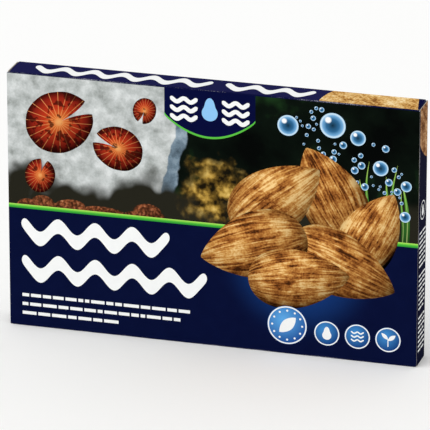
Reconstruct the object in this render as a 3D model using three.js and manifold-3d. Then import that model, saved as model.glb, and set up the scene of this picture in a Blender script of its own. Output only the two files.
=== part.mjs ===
// A flat tuck-end carton of coated board that stands on its long edge and holds a stack of
// twelve large dried Indian almond leaves. Millimetres, +Z up. +X runs along the carton's
// length to the right of its front face, and the front face looks towards -Y.
// The origin is in the middle of the bottom face, on the surface that the carton stands on.
import * as THREE from "three";
import { mergeVertices } from "three/addons/utils/BufferGeometryUtils.js";
import Module from "manifold-3d";

const wasm = await Module();
wasm.setup();

// Carton, outside sizes
const LENGTH = 290;
const DEPTH = 23;
const HEIGHT = 185;
const BOARD = 0.5;
const CREASE_OUTER_RADIUS = 0.8;
const CREASE_INNER_RADIUS = CREASE_OUTER_RADIUS - BOARD;
const CREASE_SEGMENTS = 4;

// Where the board of one panel stops short of the crease that it turns at
const GLUE_TAB_WIDTH = 15;
const GLUE_TAB_END_GAP = 3;
const GLUE_LINE = 0.06;
const SEAM_INSET = 0.1;
const LONG_EDGE_GAP = 1.7;
const BACK_EDGE_GAP = 0.8;

// End closure: an end panel on the back wall's crease, and a tongue that tucks in
// behind the front wall
const END_PANEL_START = 0.4;
const END_PANEL_SHORT = 0.4;
const TONGUE_CLEARANCE = 1.0;
const TONGUE_REACH = 10;
const TONGUE_SHORT = 2.0;
const TONGUE_CORNER = 7;
const TONGUE_CREASE_GAP = 0.6;

// Dust flaps, folded in behind each end panel from the top and the bottom wall
const DUST_FLAP_REACH = 28;
const DUST_FLAP_BEHIND = 0.4;
const DUST_FLAP_FRONT_GAP = 2.1;
const DUST_FLAP_BACK_GAP = 0.6;
const DUST_FLAP_TAPER_START = 9;
const DUST_FLAP_TAPER = 4.5;
const DUST_FLAP_CORNER = 2.5;

// Leaves
const LEAF_COUNT = 12;
const LEAF_PITCH = 1.5;
const BLADE = 0.6;
const RIB = 1.0;
const LEAF_REST_GAP = 0.3;
const LEAF_SEED = 20;
const BLADE_STATIONS = 17;
const STALK_STATIONS = 3;

const halfLength = LENGTH / 2;
const halfDepth = DEPTH / 2;
const innerDepth = halfDepth - BOARD;
const wideCut = 20;

const printedBoard = new THREE.MeshStandardMaterial({
  name: "printed_board",
  color: 0x12163f,
  roughness: 0.35,
  metalness: 0,
});
const leafBrown = new THREE.MeshStandardMaterial({
  name: "dried_leaf",
  color: 0x8a5a2e,
  roughness: 0.8,
  metalness: 0,
});

// A three.js geometry as a solid that can be cut.
function solidFrom(geometry) {
  const bare = geometry.index ? geometry.toNonIndexed() : geometry.clone();
  bare.deleteAttribute("normal");
  bare.deleteAttribute("uv");
  const merged = mergeVertices(bare, 1e-4);
  return new wasm.Manifold(
    new wasm.Mesh({
      numProp: 3,
      vertProperties: merged.attributes.position.array,
      triVerts: new Uint32Array(merged.index.array),
    }),
  );
}

// A cut solid as a three.js geometry again.
function geometryFrom(solid) {
  const mesh = solid.getMesh();
  const geometry = new THREE.BufferGeometry();
  geometry.setAttribute("position", new THREE.BufferAttribute(mesh.vertProperties, 3));
  geometry.setIndex(new THREE.BufferAttribute(mesh.triVerts, 1));
  geometry.computeVertexNormals();
  return geometry;
}

// A block between two corners, used only to cut with.
function block(low, high) {
  const size = high.map((value, axis) => value - low[axis]);
  const geometry = new THREE.BoxGeometry(...size);
  geometry.translate(...high.map((value, axis) => (value + low[axis]) / 2));
  return solidFrom(geometry);
}

// Extrudes a shape drawn in (Y, Z) along X, from x0 to x1.
function extrudeAlongX(shape, x0, x1) {
  const geometry = new THREE.ExtrudeGeometry(shape, {
    depth: x1 - x0,
    bevelEnabled: false,
    curveSegments: CREASE_SEGMENTS,
  });
  const turn = new THREE.Matrix4().makeBasis(
    new THREE.Vector3(0, 1, 0),
    new THREE.Vector3(0, 0, 1),
    new THREE.Vector3(1, 0, 0),
  );
  geometry.applyMatrix4(turn);
  geometry.translate(x0, 0, 0);
  return geometry;
}

// The carton body's section: four walls with rounded creases, the glue tab turned in from
// the back wall, and the top wall glued over it with its raw edge at the back.
function bodySection() {
  const outer = CREASE_OUTER_RADIUS;
  const inner = CREASE_INNER_RADIUS;
  const seam = HEIGHT - BOARD;
  const shape = new THREE.Shape();
  shape.moveTo(-halfDepth + outer, 0);
  shape.lineTo(halfDepth - outer, 0);
  shape.absarc(halfDepth - outer, outer, outer, -Math.PI / 2, 0, false);
  shape.lineTo(halfDepth, seam - outer);
  shape.absarc(halfDepth - outer, seam - outer, outer, 0, Math.PI / 2, false);
  shape.lineTo(halfDepth - outer, seam + GLUE_LINE);
  shape.lineTo(halfDepth - SEAM_INSET, seam + GLUE_LINE);
  shape.lineTo(halfDepth - SEAM_INSET, HEIGHT);
  shape.lineTo(-halfDepth + outer, HEIGHT);
  shape.absarc(-halfDepth + outer, HEIGHT - outer, outer, Math.PI / 2, Math.PI, false);
  shape.lineTo(-halfDepth, outer);
  shape.absarc(-halfDepth + outer, outer, outer, Math.PI, 1.5 * Math.PI, false);

  const tabEdge = innerDepth - GLUE_TAB_WIDTH;
  const hole = new THREE.Path();
  hole.moveTo(-innerDepth + inner, BOARD);
  hole.absarc(-innerDepth + inner, BOARD + inner, inner, -Math.PI / 2, -Math.PI, true);
  hole.lineTo(-innerDepth, seam - inner);
  hole.absarc(-innerDepth + inner, seam - inner, inner, Math.PI, Math.PI / 2, true);
  hole.lineTo(tabEdge, seam);
  hole.lineTo(tabEdge, seam - BOARD);
  hole.lineTo(innerDepth - inner, seam - BOARD);
  hole.absarc(innerDepth - inner, seam - BOARD - inner, inner, Math.PI / 2, 0, true);
  hole.lineTo(innerDepth, BOARD + inner);
  hole.absarc(innerDepth - inner, BOARD + inner, inner, 0, -Math.PI / 2, true);
  shape.holes.push(hole);
  return shape;
}

// The glued body, trimmed at both ends: the front wall runs to the full length, the back
// wall stops at the end panels' crease, and the top and bottom walls at the dust flaps'.
function makeBody() {
  let body = solidFrom(extrudeAlongX(bodySection(), -halfLength, halfLength));
  for (const side of [-1, 1]) {
    const span = (gap) => [side * (halfLength - gap), side * (halfLength + wideCut)];
    const cut = (gap, lowYZ, highYZ) => {
      const [near, far] = span(gap).sort((a, b) => a - b);
      body = body.subtract(block([near, ...lowYZ], [far, ...highYZ]));
    };
    cut(LONG_EDGE_GAP, [-innerDepth, HEIGHT - BOARD], [wideCut, HEIGHT + wideCut]);
    cut(LONG_EDGE_GAP, [-innerDepth, -wideCut], [wideCut, BOARD]);
    cut(BACK_EDGE_GAP, [innerDepth - BOARD, -wideCut], [wideCut, HEIGHT + wideCut]);
    cut(
      GLUE_TAB_END_GAP,
      [innerDepth - GLUE_TAB_WIDTH - BOARD, HEIGHT - 2 * BOARD - GLUE_LINE],
      [innerDepth, HEIGHT - BOARD],
    );
  }
  return geometryFrom(body);
}

// End panel, drawn in (Y, Z): it covers the dust flaps and turns at the tongue's crease.
function makeEndPanel(side) {
  const back = halfDepth - BOARD / 2 - END_PANEL_START;
  const front = -innerDepth + TONGUE_CLEARANCE + BOARD + TONGUE_CREASE_GAP;
  const shape = new THREE.Shape();
  shape.moveTo(front, END_PANEL_SHORT + TONGUE_SHORT / 2);
  shape.lineTo(front + TONGUE_SHORT / 2, END_PANEL_SHORT);
  shape.lineTo(back, END_PANEL_SHORT);
  shape.lineTo(back, HEIGHT - END_PANEL_SHORT);
  shape.lineTo(front + TONGUE_SHORT / 2, HEIGHT - END_PANEL_SHORT);
  shape.lineTo(front, HEIGHT - END_PANEL_SHORT - TONGUE_SHORT / 2);
  const outside = side * halfLength;
  const inside = side * (halfLength - BOARD);
  return extrudeAlongX(shape, Math.min(outside, inside), Math.max(outside, inside));
}

// Tuck-in tongue, drawn in (X, Z) and as thick as the board along Y, with round free corners.
function makeTongue(side) {
  const near = halfLength - BOARD - TONGUE_CREASE_GAP;
  const far = halfLength - BOARD - TONGUE_REACH;
  const low = TONGUE_SHORT;
  const high = HEIGHT - TONGUE_SHORT;
  const corner = TONGUE_CORNER;
  const shape = new THREE.Shape();
  shape.moveTo(near, low);
  shape.lineTo(near, high);
  shape.lineTo(far + corner, high);
  shape.absarc(far + corner, high - corner, corner, Math.PI / 2, Math.PI, false);
  shape.lineTo(far, low + corner);
  shape.absarc(far + corner, low + corner, corner, Math.PI, 1.5 * Math.PI, false);
  const geometry = new THREE.ExtrudeGeometry(shape, {
    depth: BOARD,
    bevelEnabled: false,
    curveSegments: 2 * CREASE_SEGMENTS,
  });
  geometry.rotateX(Math.PI / 2);
  geometry.translate(0, -innerDepth + TONGUE_CLEARANCE + BOARD, 0);
  if (side < 0) geometry.rotateZ(Math.PI).translate(0, mirroredTongueShift(), 0);
  return geometry;
}

// A half turn about Z carries the tongue to the back wall, so it is moved to the front again.
function mirroredTongueShift() {
  return 2 * (-innerDepth + TONGUE_CLEARANCE) + BOARD;
}

// Dust flap, drawn in (Y, Z) from its crease: its front side narrows past the shoulder.
function makeDustFlap(side, above) {
  const back = innerDepth - DUST_FLAP_BACK_GAP;
  const front = -innerDepth + DUST_FLAP_FRONT_GAP;
  const corner = DUST_FLAP_CORNER;
  const crease = BOARD / 2 + END_PANEL_START;
  const place = (reach) => (above ? HEIGHT - crease - reach : crease + reach);
  const points = [
    [front, 0],
    [front, DUST_FLAP_TAPER_START],
    [front + DUST_FLAP_TAPER, DUST_FLAP_REACH - corner],
    [front + DUST_FLAP_TAPER + corner, DUST_FLAP_REACH],
    [back - corner, DUST_FLAP_REACH],
    [back, DUST_FLAP_REACH - corner],
    [back, 0],
  ];
  const shape = new THREE.Shape(points.map(([y, reach]) => new THREE.Vector2(y, place(reach))));
  const outside = side * (halfLength - BOARD - DUST_FLAP_BEHIND);
  const inside = outside - side * BOARD;
  return extrudeAlongX(shape, Math.min(outside, inside), Math.max(outside, inside));
}

// A repeatable stream of numbers from 0 to 1.
function seededStream(seed) {
  let state = seed;
  return () => {
    state = (state * 16807) % 2147483647;
    return state / 2147483647;
  };
}

// The lie of the whole stack: each leaf follows the same slow waves, so that they nest.
function stackWave(x, z) {
  return (
    0.95 * Math.sin(x / 31 + 0.6) * Math.cos((z - 75) / 44) +
    0.4 * Math.sin(x / 12.5 + z / 38) +
    0.3 * Math.sin(z / 9.5 + x / 27)
  );
}

// One leaf's own numbers.
function leafPlan(index, draw) {
  const turned = index % 3 === 1;
  return {
    length: 226 + 22 * draw(),
    halfWidth: 66 + 6 * draw(),
    widest: 0.64 + 0.05 * draw(),
    stalk: 9 + 4 * draw(),
    bend: (draw() - 0.5) * 10,
    tilt: THREE.MathUtils.degToRad((draw() - 0.5) * 5 + (turned ? 180 : 0)),
    shift: (draw() - 0.5) * 5,
    ripple: 0.5 + 0.5 * draw(),
    phase: 6.28 * draw(),
    depth: (index - (LEAF_COUNT - 1) / 2) * LEAF_PITCH,
  };
}

// Half the blade's width at a share of its length: narrow and straight-sided at the stalk,
// widest past the middle, blunt with a short point at the tip.
function halfWidthAt(plan, share) {
  if (share <= 0) return RIB_HALF_WIDTH;
  const rise = plan.widest / (1 - plan.widest);
  const fall = 0.42;
  const grow = rise * fall;
  const peak = plan.widest ** grow * (1 - plan.widest) ** fall;
  const body = (share ** grow * (1 - share) ** fall) / peak;
  const waved = 1 + 0.012 * plan.ripple * Math.sin(21 * share + plan.phase);
  return Math.max(TIP_HALF_WIDTH, RIB_HALF_WIDTH * (1 - share) + plan.halfWidth * body * waved);
}

const RIB_HALF_WIDTH = 1.6;
const TIP_HALF_WIDTH = 0.7;
const ACROSS = [-1, -0.68, -0.34, 0, 0, 0, 0.34, 0.68, 1];
const RIB_COLUMNS = [0, 0, 0, -1, 0, 1, 0, 0, 0];

// A leaf as one closed blade: stations along its midrib, columns across it, the same
// triangles on both faces and a strip round the edge.
function makeLeaf(plan) {
  const along = [];
  for (let i = 0; i < STALK_STATIONS; i += 1) along.push(-plan.stalk * (1 - i / STALK_STATIONS));
  for (let i = 0; i < BLADE_STATIONS; i += 1) {
    const share = i / (BLADE_STATIONS - 1);
    along.push(plan.length * (1 - (1 - share) ** 1.25));
  }
  const rows = along.map((distance) => leafRow(plan, distance));
  const lowest = Math.min(...rows.flat().map((point) => point.z));
  const lift = BOARD + LEAF_REST_GAP - lowest;
  const columns = ACROSS.length;
  const positions = [];
  for (const face of [-1, 1]) {
    for (const point of rows.flat()) {
      const z = point.z + lift;
      const y = plan.depth + stackWave(point.x, z) + (face * point.thick) / 2;
      positions.push(point.x, y, z);
    }
  }
  const half = rows.length * columns;
  const index = [];
  for (let i = 0; i < rows.length - 1; i += 1) {
    for (let j = 0; j < columns - 1; j += 1) {
      const a = i * columns + j;
      const [b, c, d] = [a + 1, a + columns, a + columns + 1];
      index.push(a, c, b, b, c, d);
      index.push(a + half, b + half, c + half, b + half, d + half, c + half);
    }
  }
  const rim = [];
  for (let j = 0; j < columns - 1; j += 1) rim.push(j);
  for (let i = 0; i < rows.length - 1; i += 1) rim.push(i * columns + columns - 1);
  for (let j = columns - 1; j > 0; j -= 1) rim.push((rows.length - 1) * columns + j);
  for (let i = rows.length - 1; i > 0; i -= 1) rim.push(i * columns);
  rim.forEach((a, n) => {
    const b = rim[(n + 1) % rim.length];
    index.push(a, b, a + half, b, b + half, a + half);
  });
  const geometry = new THREE.BufferGeometry();
  geometry.setAttribute("position", new THREE.Float32BufferAttribute(positions, 3));
  geometry.setIndex(index);
  geometry.computeVertexNormals();
  return geometry;
}

// The points across a leaf at one distance from the foot of its blade, in (X, Z), with the
// blade's thickness at each.
function leafRow(plan, distance) {
  const share = distance / plan.length;
  const half = halfWidthAt(plan, share);
  const rib = Math.min(RIB_HALF_WIDTH * (1 - 0.7 * Math.max(0, share)), half * 0.8);
  const sway = plan.bend * Math.sin(Math.PI * Math.max(0, share));
  const middle = plan.length / 2;
  return ACROSS.map((place, column) => {
    const side = RIB_COLUMNS[column];
    const across = side * rib + Math.sign(place) * rib + place * (half - rib);
    const onRib = Math.abs(side) < 1 && place === 0;
    const along = distance - middle;
    const x = Math.cos(plan.tilt) * along - Math.sin(plan.tilt) * (across + sway) + plan.shift;
    const z = Math.sin(plan.tilt) * along + Math.cos(plan.tilt) * (across + sway);
    return { x, z, thick: onRib ? RIB : BLADE };
  });
}

// Names a mesh and adds it to the carton.
function add(group, name, geometry, material) {
  const mesh = new THREE.Mesh(geometry, material);
  mesh.name = name;
  group.add(mesh);
}

const carton = new THREE.Group();
carton.name = "leaf_carton";
add(carton, "carton_body", makeBody(), printedBoard);
for (const [name, side] of [["left", -1], ["right", 1]]) {
  add(carton, `${name}_end_panel`, makeEndPanel(side), printedBoard);
  add(carton, `${name}_tuck_tongue`, makeTongue(side), printedBoard);
  add(carton, `${name}_dust_flap_top`, makeDustFlap(side, true), printedBoard);
  add(carton, `${name}_dust_flap_bottom`, makeDustFlap(side, false), printedBoard);
}
const draw = seededStream(LEAF_SEED);
for (let i = 0; i < LEAF_COUNT; i += 1) {
  const number = String(i + 1).padStart(2, "0");
  add(carton, `leaf_${number}`, makeLeaf(leafPlan(i, draw)), leafBrown);
}

export default carton;
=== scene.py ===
"""A tuck-end carton of printed board, with the twelve dried Indian almond leaves it holds.

The carton stands on its long narrow face. As in the frame, +X runs to the right of the
front face, the front looks towards -Y and +Z is up. Every size here is in millimetres, and
a mesh is scaled to the frame's metres when it is finished.
"""

import logging
import math
import random
from collections.abc import Callable, Iterable, Sequence
from dataclasses import dataclass
from enum import Enum
from functools import cached_property

import bmesh
import bpy
from mathutils import Matrix, Vector
from mathutils.geometry import delaunay_2d_cdt


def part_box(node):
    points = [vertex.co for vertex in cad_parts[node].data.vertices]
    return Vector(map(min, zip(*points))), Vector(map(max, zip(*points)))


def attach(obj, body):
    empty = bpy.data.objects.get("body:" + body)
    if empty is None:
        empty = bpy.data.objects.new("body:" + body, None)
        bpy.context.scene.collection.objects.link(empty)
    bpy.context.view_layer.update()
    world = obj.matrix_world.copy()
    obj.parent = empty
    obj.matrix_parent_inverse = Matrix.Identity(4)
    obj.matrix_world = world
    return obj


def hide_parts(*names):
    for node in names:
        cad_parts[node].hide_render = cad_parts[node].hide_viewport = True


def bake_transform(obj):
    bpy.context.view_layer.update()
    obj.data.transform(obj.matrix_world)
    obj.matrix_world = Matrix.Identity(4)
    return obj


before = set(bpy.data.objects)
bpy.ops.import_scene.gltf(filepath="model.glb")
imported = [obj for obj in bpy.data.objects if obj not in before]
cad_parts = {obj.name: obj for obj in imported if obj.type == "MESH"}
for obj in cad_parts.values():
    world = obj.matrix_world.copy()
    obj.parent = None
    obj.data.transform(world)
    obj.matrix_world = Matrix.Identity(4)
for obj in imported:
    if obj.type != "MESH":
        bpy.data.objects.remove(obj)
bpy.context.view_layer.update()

LOG = logging.getLogger("leaf_carton")
MM = 0.001
BOARD_SLOT = "printed_board"
LEAF_SLOT = "dried_leaf"
CARTON_BODY = "carton"
PLACE = "place"
# One band of a wave texture is this long at a scale of 1.
WAVE_BAND = 2 * math.pi / 20

Colour = tuple[float, float, float, float]
Point = tuple[float, float]
Triple = tuple[float, float, float]
Socket = bpy.types.NodeSocket
Edges = list[bmesh.types.BMEdge]


def linear(hex_value: str) -> Colour:
    """Turns an sRGB hex value into a linear colour.

    Args:
        hex_value: six hex digits, such as "12163f".

    Returns:
        Linear red, green and blue, and an alpha of 1.
    """
    shares = [int(hex_value[i : i + 2], 16) / 255 for i in (0, 2, 4)]
    rgb = [s / 12.92 if s <= 0.04045 else ((s + 0.055) / 1.055) ** 2.4 for s in shares]
    return (rgb[0], rgb[1], rgb[2], 1.0)


class Surface:
    """The node tree of one material while it is being made."""

    def __init__(self, name: str) -> None:
        """Starts an empty node material that reads Object coordinates in millimetres.

        Args:
            name: the material's name.
        """
        self.material = bpy.data.materials.new(name)
        self.material.use_nodes = True
        self.tree = self.material.node_tree
        self.tree.nodes.clear()
        metres = self.add("TexCoord").node.outputs["Object"]
        self.mm = self.add("Mapping", metres, Scale=(1 / MM, 1 / MM, 1 / MM))

    @cached_property
    def place(self) -> Socket:
        """A point's own place, which its piece holds in an attribute."""
        return self.add("Attribute", attribute_name=PLACE).node.outputs["Vector"]

    @cached_property
    def disc(self) -> Socket:
        """The own place without its third value, which is a turn or a number."""
        return self.add("VectorMath", self.place, (1.0, 1.0, 0.0), operation="MULTIPLY")

    def add(self, kind: str, *values: object, **named: object) -> Socket | None:
        """Adds a node with its settings and links. A socket is linked, a text is a hex
        colour, and anything else is set as it is.

        Args:
            kind: the node's type, without the word ShaderNode.
            values: values for its inputs in use, in their order.
            named: values for inputs by name, with _ for a space, and the node's own
                options; "stops" gives a colour ramp's places and colours.

        Returns:
            The node's first output in use.
        """
        node = self.tree.nodes.new("ShaderNode" + kind)
        by_name = []
        for key, value in named.items():
            if key == "stops":
                stops, ramp = tuple(value), node.color_ramp.elements
                while len(ramp) < len(stops):
                    ramp.new(1.0)
                for stop, (position, hex_value) in zip(ramp, stops):
                    stop.position, stop.color = position, linear(hex_value)
            elif key.replace("_", " ") in node.inputs:
                by_name.append((node.inputs[key.replace("_", " ")], value))
            else:
                setattr(node, key, value)
        in_use = [slot for slot in node.inputs if slot.enabled]
        for slot, value in (*zip(in_use, values), *by_name):
            if isinstance(value, Socket):
                self.tree.links.new(value, slot)
            else:
                slot.default_value = linear(value) if isinstance(value, str) else value
        return next((output for output in node.outputs if output.enabled), None)


# Settings that make a mix node blend colours.
BLEND = {"data_type": "RGBA"}


@dataclass(frozen=True)
class Finish:
    """A surface as it was made: its gloss, its relief and its colour."""

    name: str
    roughness: float = 0.5
    specular: float = 0.5
    relief_mm: float = 0.02
    relief_grain: float = 0.8

    def paint(self, surface: Surface) -> Socket:
        """Adds the nodes of the colour and returns their socket."""
        raise NotImplementedError

    def relief(self, surface: Surface) -> Socket:
        """Adds the nodes of the relief, from 0 to 1, and returns their socket."""
        return surface.add("TexNoise", surface.mm, Scale=1 / self.relief_grain, Detail=3.0)

    def material(self) -> bpy.types.Material:
        """Makes the material, once for each finish.

        Returns:
            The finished material.
        """
        made = bpy.data.materials.get(self.name)
        if made:
            return made
        surface = Surface(self.name)
        height = self.relief(surface)
        bump = surface.add("Bump", Height=height, Strength=1.0, Distance=self.relief_mm * MM)
        shader = surface.add(
            "BsdfPrincipled",
            Base_Color=self.paint(surface),
            Roughness=self.roughness,
            Specular_IOR_Level=self.specular,
            Normal=bump,
        )
        surface.add("OutputMaterial", shader)
        return surface.material


@dataclass(frozen=True)
class CoatedPrint(Finish):
    """Clay-coated folding board, offset printed under a matt varnish. The varnish scatters
    what it mirrors, so the ink looks deep from every side and only slow waves of the board
    stir it. The varnish's peel is finer than 0.2 mm and is drawn at 0.5 mm so that it shows."""

    roughness: float = 0.6
    specular: float = 0.004
    relief_mm: float = 0.16
    wave: float = 35.0
    peel: float = 0.5
    peel_share: float = 0.02

    def relief(self, surface: Surface) -> Socket:
        """Adds the board's waves, with the peel on them.

        Args:
            surface: the material's tree.

        Returns:
            The height.
        """
        waves = surface.add("TexNoise", surface.mm, Scale=1 / self.wave, Detail=1.0)
        peel = surface.add("TexNoise", surface.mm, Scale=1 / self.peel, Detail=1.0)
        return surface.add("Math", peel, self.peel_share, waves, operation="MULTIPLY_ADD")


@dataclass(frozen=True, kw_only=True)
class FlatInk(CoatedPrint):
    """One solid offset ink: even, but for the faint clouds that the rollers leave."""

    colour: str
    clouded: str
    cloud: float = 6.0

    def paint(self, surface: Surface) -> Socket:
        """Adds the ink with its clouds."""
        cloud = surface.add("TexNoise", surface.mm, Scale=1 / self.cloud, Detail=4.0)
        return surface.add("Mix", cloud, self.colour, self.clouded, **BLEND)


@dataclass(frozen=True)
class PondPicture(CoatedPrint):
    """The front's printed backdrop, whose colours melt into one another as in a photograph
    out of focus: a pale stone slab on the left, the slab's blue-grey side, and dark water
    on the right with a golden bank in it."""

    slab_edge: float = -27.0
    slab_lean: float = 0.22
    slab_height: float = 130.0
    slab_side: float = 9.0
    side_blur: float = 1.2
    water_blur: float = 1.5
    chip: float = 14.0
    chip_reach: float = 9.0
    stone_grain: float = 13.0
    water_cloud: float = 34.0
    dusk_cloud: float = 30.0
    dusk_heights: Point = (140.0, 96.0)
    dusk_shift: Point = (-0.3, 0.3)
    dusk_edge: Point = (0.5, 0.72)
    bank_centre: Triple = (2.0, 0.0, 112.0)
    bank_radius: float = 27.0
    bank_fade: float = 1.6
    bank_rag: float = 9.0
    bank_grain: float = 7.0

    def paint(self, surface: Surface) -> Socket:
        """Adds the slab, its side and the water, the dusk that deepens towards the foot,
        and the bank.

        Args:
            surface: the material's tree.

        Returns:
            The colour.
        """
        add, mm = surface.add, surface.mm
        across = add("SeparateXYZ", mm)
        height = across.node.outputs["Z"]
        lean = add("Math", height, -self.slab_lean, operation="MULTIPLY")
        chips = add("TexNoise", mm, Scale=1 / self.chip, Detail=5.0)
        wobble = add("Math", chips, self.chip_reach, operation="MULTIPLY")
        leaning = add("Math", across, lean, operation="ADD")
        edge = add("Math", leaning, wobble, operation="ADD")
        grain = add("TexNoise", mm, Scale=1 / self.stone_grain, Detail=8.0, Roughness=0.68)
        slab_stops = ((0.25, "6d716c"), (0.45, "aeb3b1"), (0.6, "cfd3d2"), (0.8, "eef0ef"))
        slab = add("ValToRGB", grain, stops=slab_stops)
        side = add("ValToRGB", grain, stops=((0.3, "34404a"), (0.5, "6b7e8c"), (0.75, "a9bac6")))
        depth = add("TexNoise", mm, Scale=1 / self.water_cloud, Detail=4.0)
        water_stops = ((0.35, "050706"), (0.55, "0b130d"), (0.72, "1d3a1c"), (0.85, "3f6a2c"))
        water = add("ValToRGB", depth, stops=water_stops)
        start = self.slab_edge - self.slab_lean * self.slab_height
        end = start + self.slab_side
        smooth = {"interpolation_type": "SMOOTHSTEP"}
        to_side = add("MapRange", edge, start, start + self.side_blur, **smooth)
        to_water = add("MapRange", edge, end, end + self.water_blur, **smooth)
        stone = add("Mix", to_side, slab, side, **BLEND)
        scene = add("Mix", to_water, stone, water, **BLEND)
        cloud = add("TexNoise", mm, Scale=1 / self.dusk_cloud, Detail=2.0)
        low = add("MapRange", height, *self.dusk_heights, *self.dusk_shift)
        shade = add("Math", cloud, low, operation="ADD")
        dusk = add("MapRange", shade, *self.dusk_edge, **smooth)
        shaded = add("Mix", dusk, scene, "24231b", **BLEND)
        return self.add_bank(surface, shaded)

    def add_bank(self, surface: Surface, under: Socket) -> Socket:
        """Lays the blurred golden bank over the water.

        Args:
            surface: the material's tree.
            under: the colour that it lies on.

        Returns:
            The colour with the bank on it.
        """
        add, mm, radius, smooth = surface.add, surface.mm, self.bank_radius, "SMOOTHSTEP"
        away = add("VectorMath", mm, self.bank_centre, operation="DISTANCE")
        rag = add("TexNoise", mm, Scale=1 / self.bank_rag, Detail=3.0)
        grain = add("TexNoise", mm, Scale=1 / self.bank_grain, Detail=4.0)
        stops = ((0.34, "1a140a"), (0.46, "6b5220"), (0.56, "b08c3e"), (0.7, "dcb965"))
        bank = add("ValToRGB", grain, stops=stops)
        ragged = add("Math", rag, radius, away, operation="MULTIPLY_ADD")
        outer = radius * self.bank_fade
        share = add("MapRange", ragged, outer, radius, interpolation_type=smooth)
        return add("Mix", share, under, bank, **BLEND)


@dataclass(frozen=True)
class NavyGround(CoatedPrint):
    """Deep navy ink, lit up in one place by a paler blue glow that fades outwards."""

    glow_centre: Triple = (62.0, 0.0, 66.0)
    glow_radius: float = 62.0
    glow_core: float = 0.35
    glow_share: float = 0.7
    cloud: float = 9.0

    def paint(self, surface: Surface) -> Socket:
        """Adds the navy, with the glow round its centre.

        Args:
            surface: the material's tree.

        Returns:
            The colour.
        """
        add, mm = surface.add, surface.mm
        away = add("VectorMath", mm, self.glow_centre, operation="DISTANCE")
        core, fall = self.glow_radius * self.glow_core, {"interpolation_type": "SMOOTHERSTEP"}
        glow = add("MapRange", away, self.glow_radius, core, To_Max=self.glow_share, **fall)
        cloud = add("TexNoise", mm, Scale=1 / self.cloud, Detail=3.0)
        navy = add("Mix", cloud, "070d2e", "0a1236", **BLEND)
        return add("Mix", glow, navy, "163c7c", **BLEND)


@dataclass(frozen=True)
class StoneGrain:
    """Golden-brown banded stone, as the narrow walls picture it: soft clouds, bent bands and
    a coarse speckle."""

    tones: tuple[str, ...] = ("6b431f", "a87537", "cfa05a", "e3bf80", "f6e2b4")
    steps: tuple[float, ...] = (0.02, 0.26, 0.48, 0.7, 0.98)
    cloud: float = 15.0
    speckle: float = 1.5
    speckle_share: float = 1.15
    band: float = 6.5
    band_share: float = 0.14
    tone_range: Point = (0.82, 1.5)

    def paint(self, surface: Surface) -> Socket:
        """Adds the clouds, the bands and the speckle, and colours their sum.

        Args:
            surface: the material's tree.

        Returns:
            The colour.
        """
        add, mm = surface.add, surface.mm
        cloud = add("TexNoise", mm, Scale=1 / self.cloud, Detail=3.0)
        speckle = add("TexNoise", mm, Scale=1 / self.speckle, Detail=3.0, Roughness=0.6)
        bend = {"Distortion": 9.0, "Detail": 3.0, "Detail_Scale": 1.2}
        wave = {"bands_direction": "DIAGONAL", **bend}
        bands = add("TexWave", mm, Scale=WAVE_BAND / self.band, **wave)
        banded = add("Math", bands, self.band_share, cloud, operation="MULTIPLY_ADD")
        rough = add("Math", speckle, self.speckle_share, banded, operation="MULTIPLY_ADD")
        tone = add("MapRange", rough, *self.tone_range)
        return add("ValToRGB", tone, stops=zip(self.steps, self.tones))


@dataclass(frozen=True)
class RoundedPicture(CoatedPrint):
    """A printed picture of something round, shaded as if lit from the upper left."""

    shade: float = 0.75
    shade_share: float = 0.6
    shade_power: float = 4.0
    level: float = 0.98
    light: Triple = (-0.26, 0.34, 0.0)

    def body_colour(self, surface: Surface) -> Socket:
        """Adds the colour before shading and returns its socket."""
        raise NotImplementedError

    def paint(self, surface: Surface) -> Socket:
        """Adds the colour and its shading, by each shape's own place from -1 to 1.

        Args:
            surface: the material's tree.

        Returns:
            The colour.
        """
        add = surface.add
        turn = add("SeparateXYZ", surface.place).node.outputs["Z"]
        upright = add("VectorRotate", surface.place, Angle=turn, rotation_type="Z_AXIS")
        lit = add("VectorMath", upright, self.light, operation="DOT_PRODUCT")
        out = add("VectorMath", surface.disc, operation="LENGTH")
        rim = add("Math", out, self.shade_power, operation="POWER")
        fall = add("Math", rim, -self.shade * self.shade_share, operation="MULTIPLY")
        light = add("Math", lit, fall, operation="ADD")
        level = add("Math", light, self.level, operation="ADD")
        body = self.body_colour(surface)
        return add("Mix", 1.0, body, level, **BLEND, blend_type="MULTIPLY")


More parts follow.
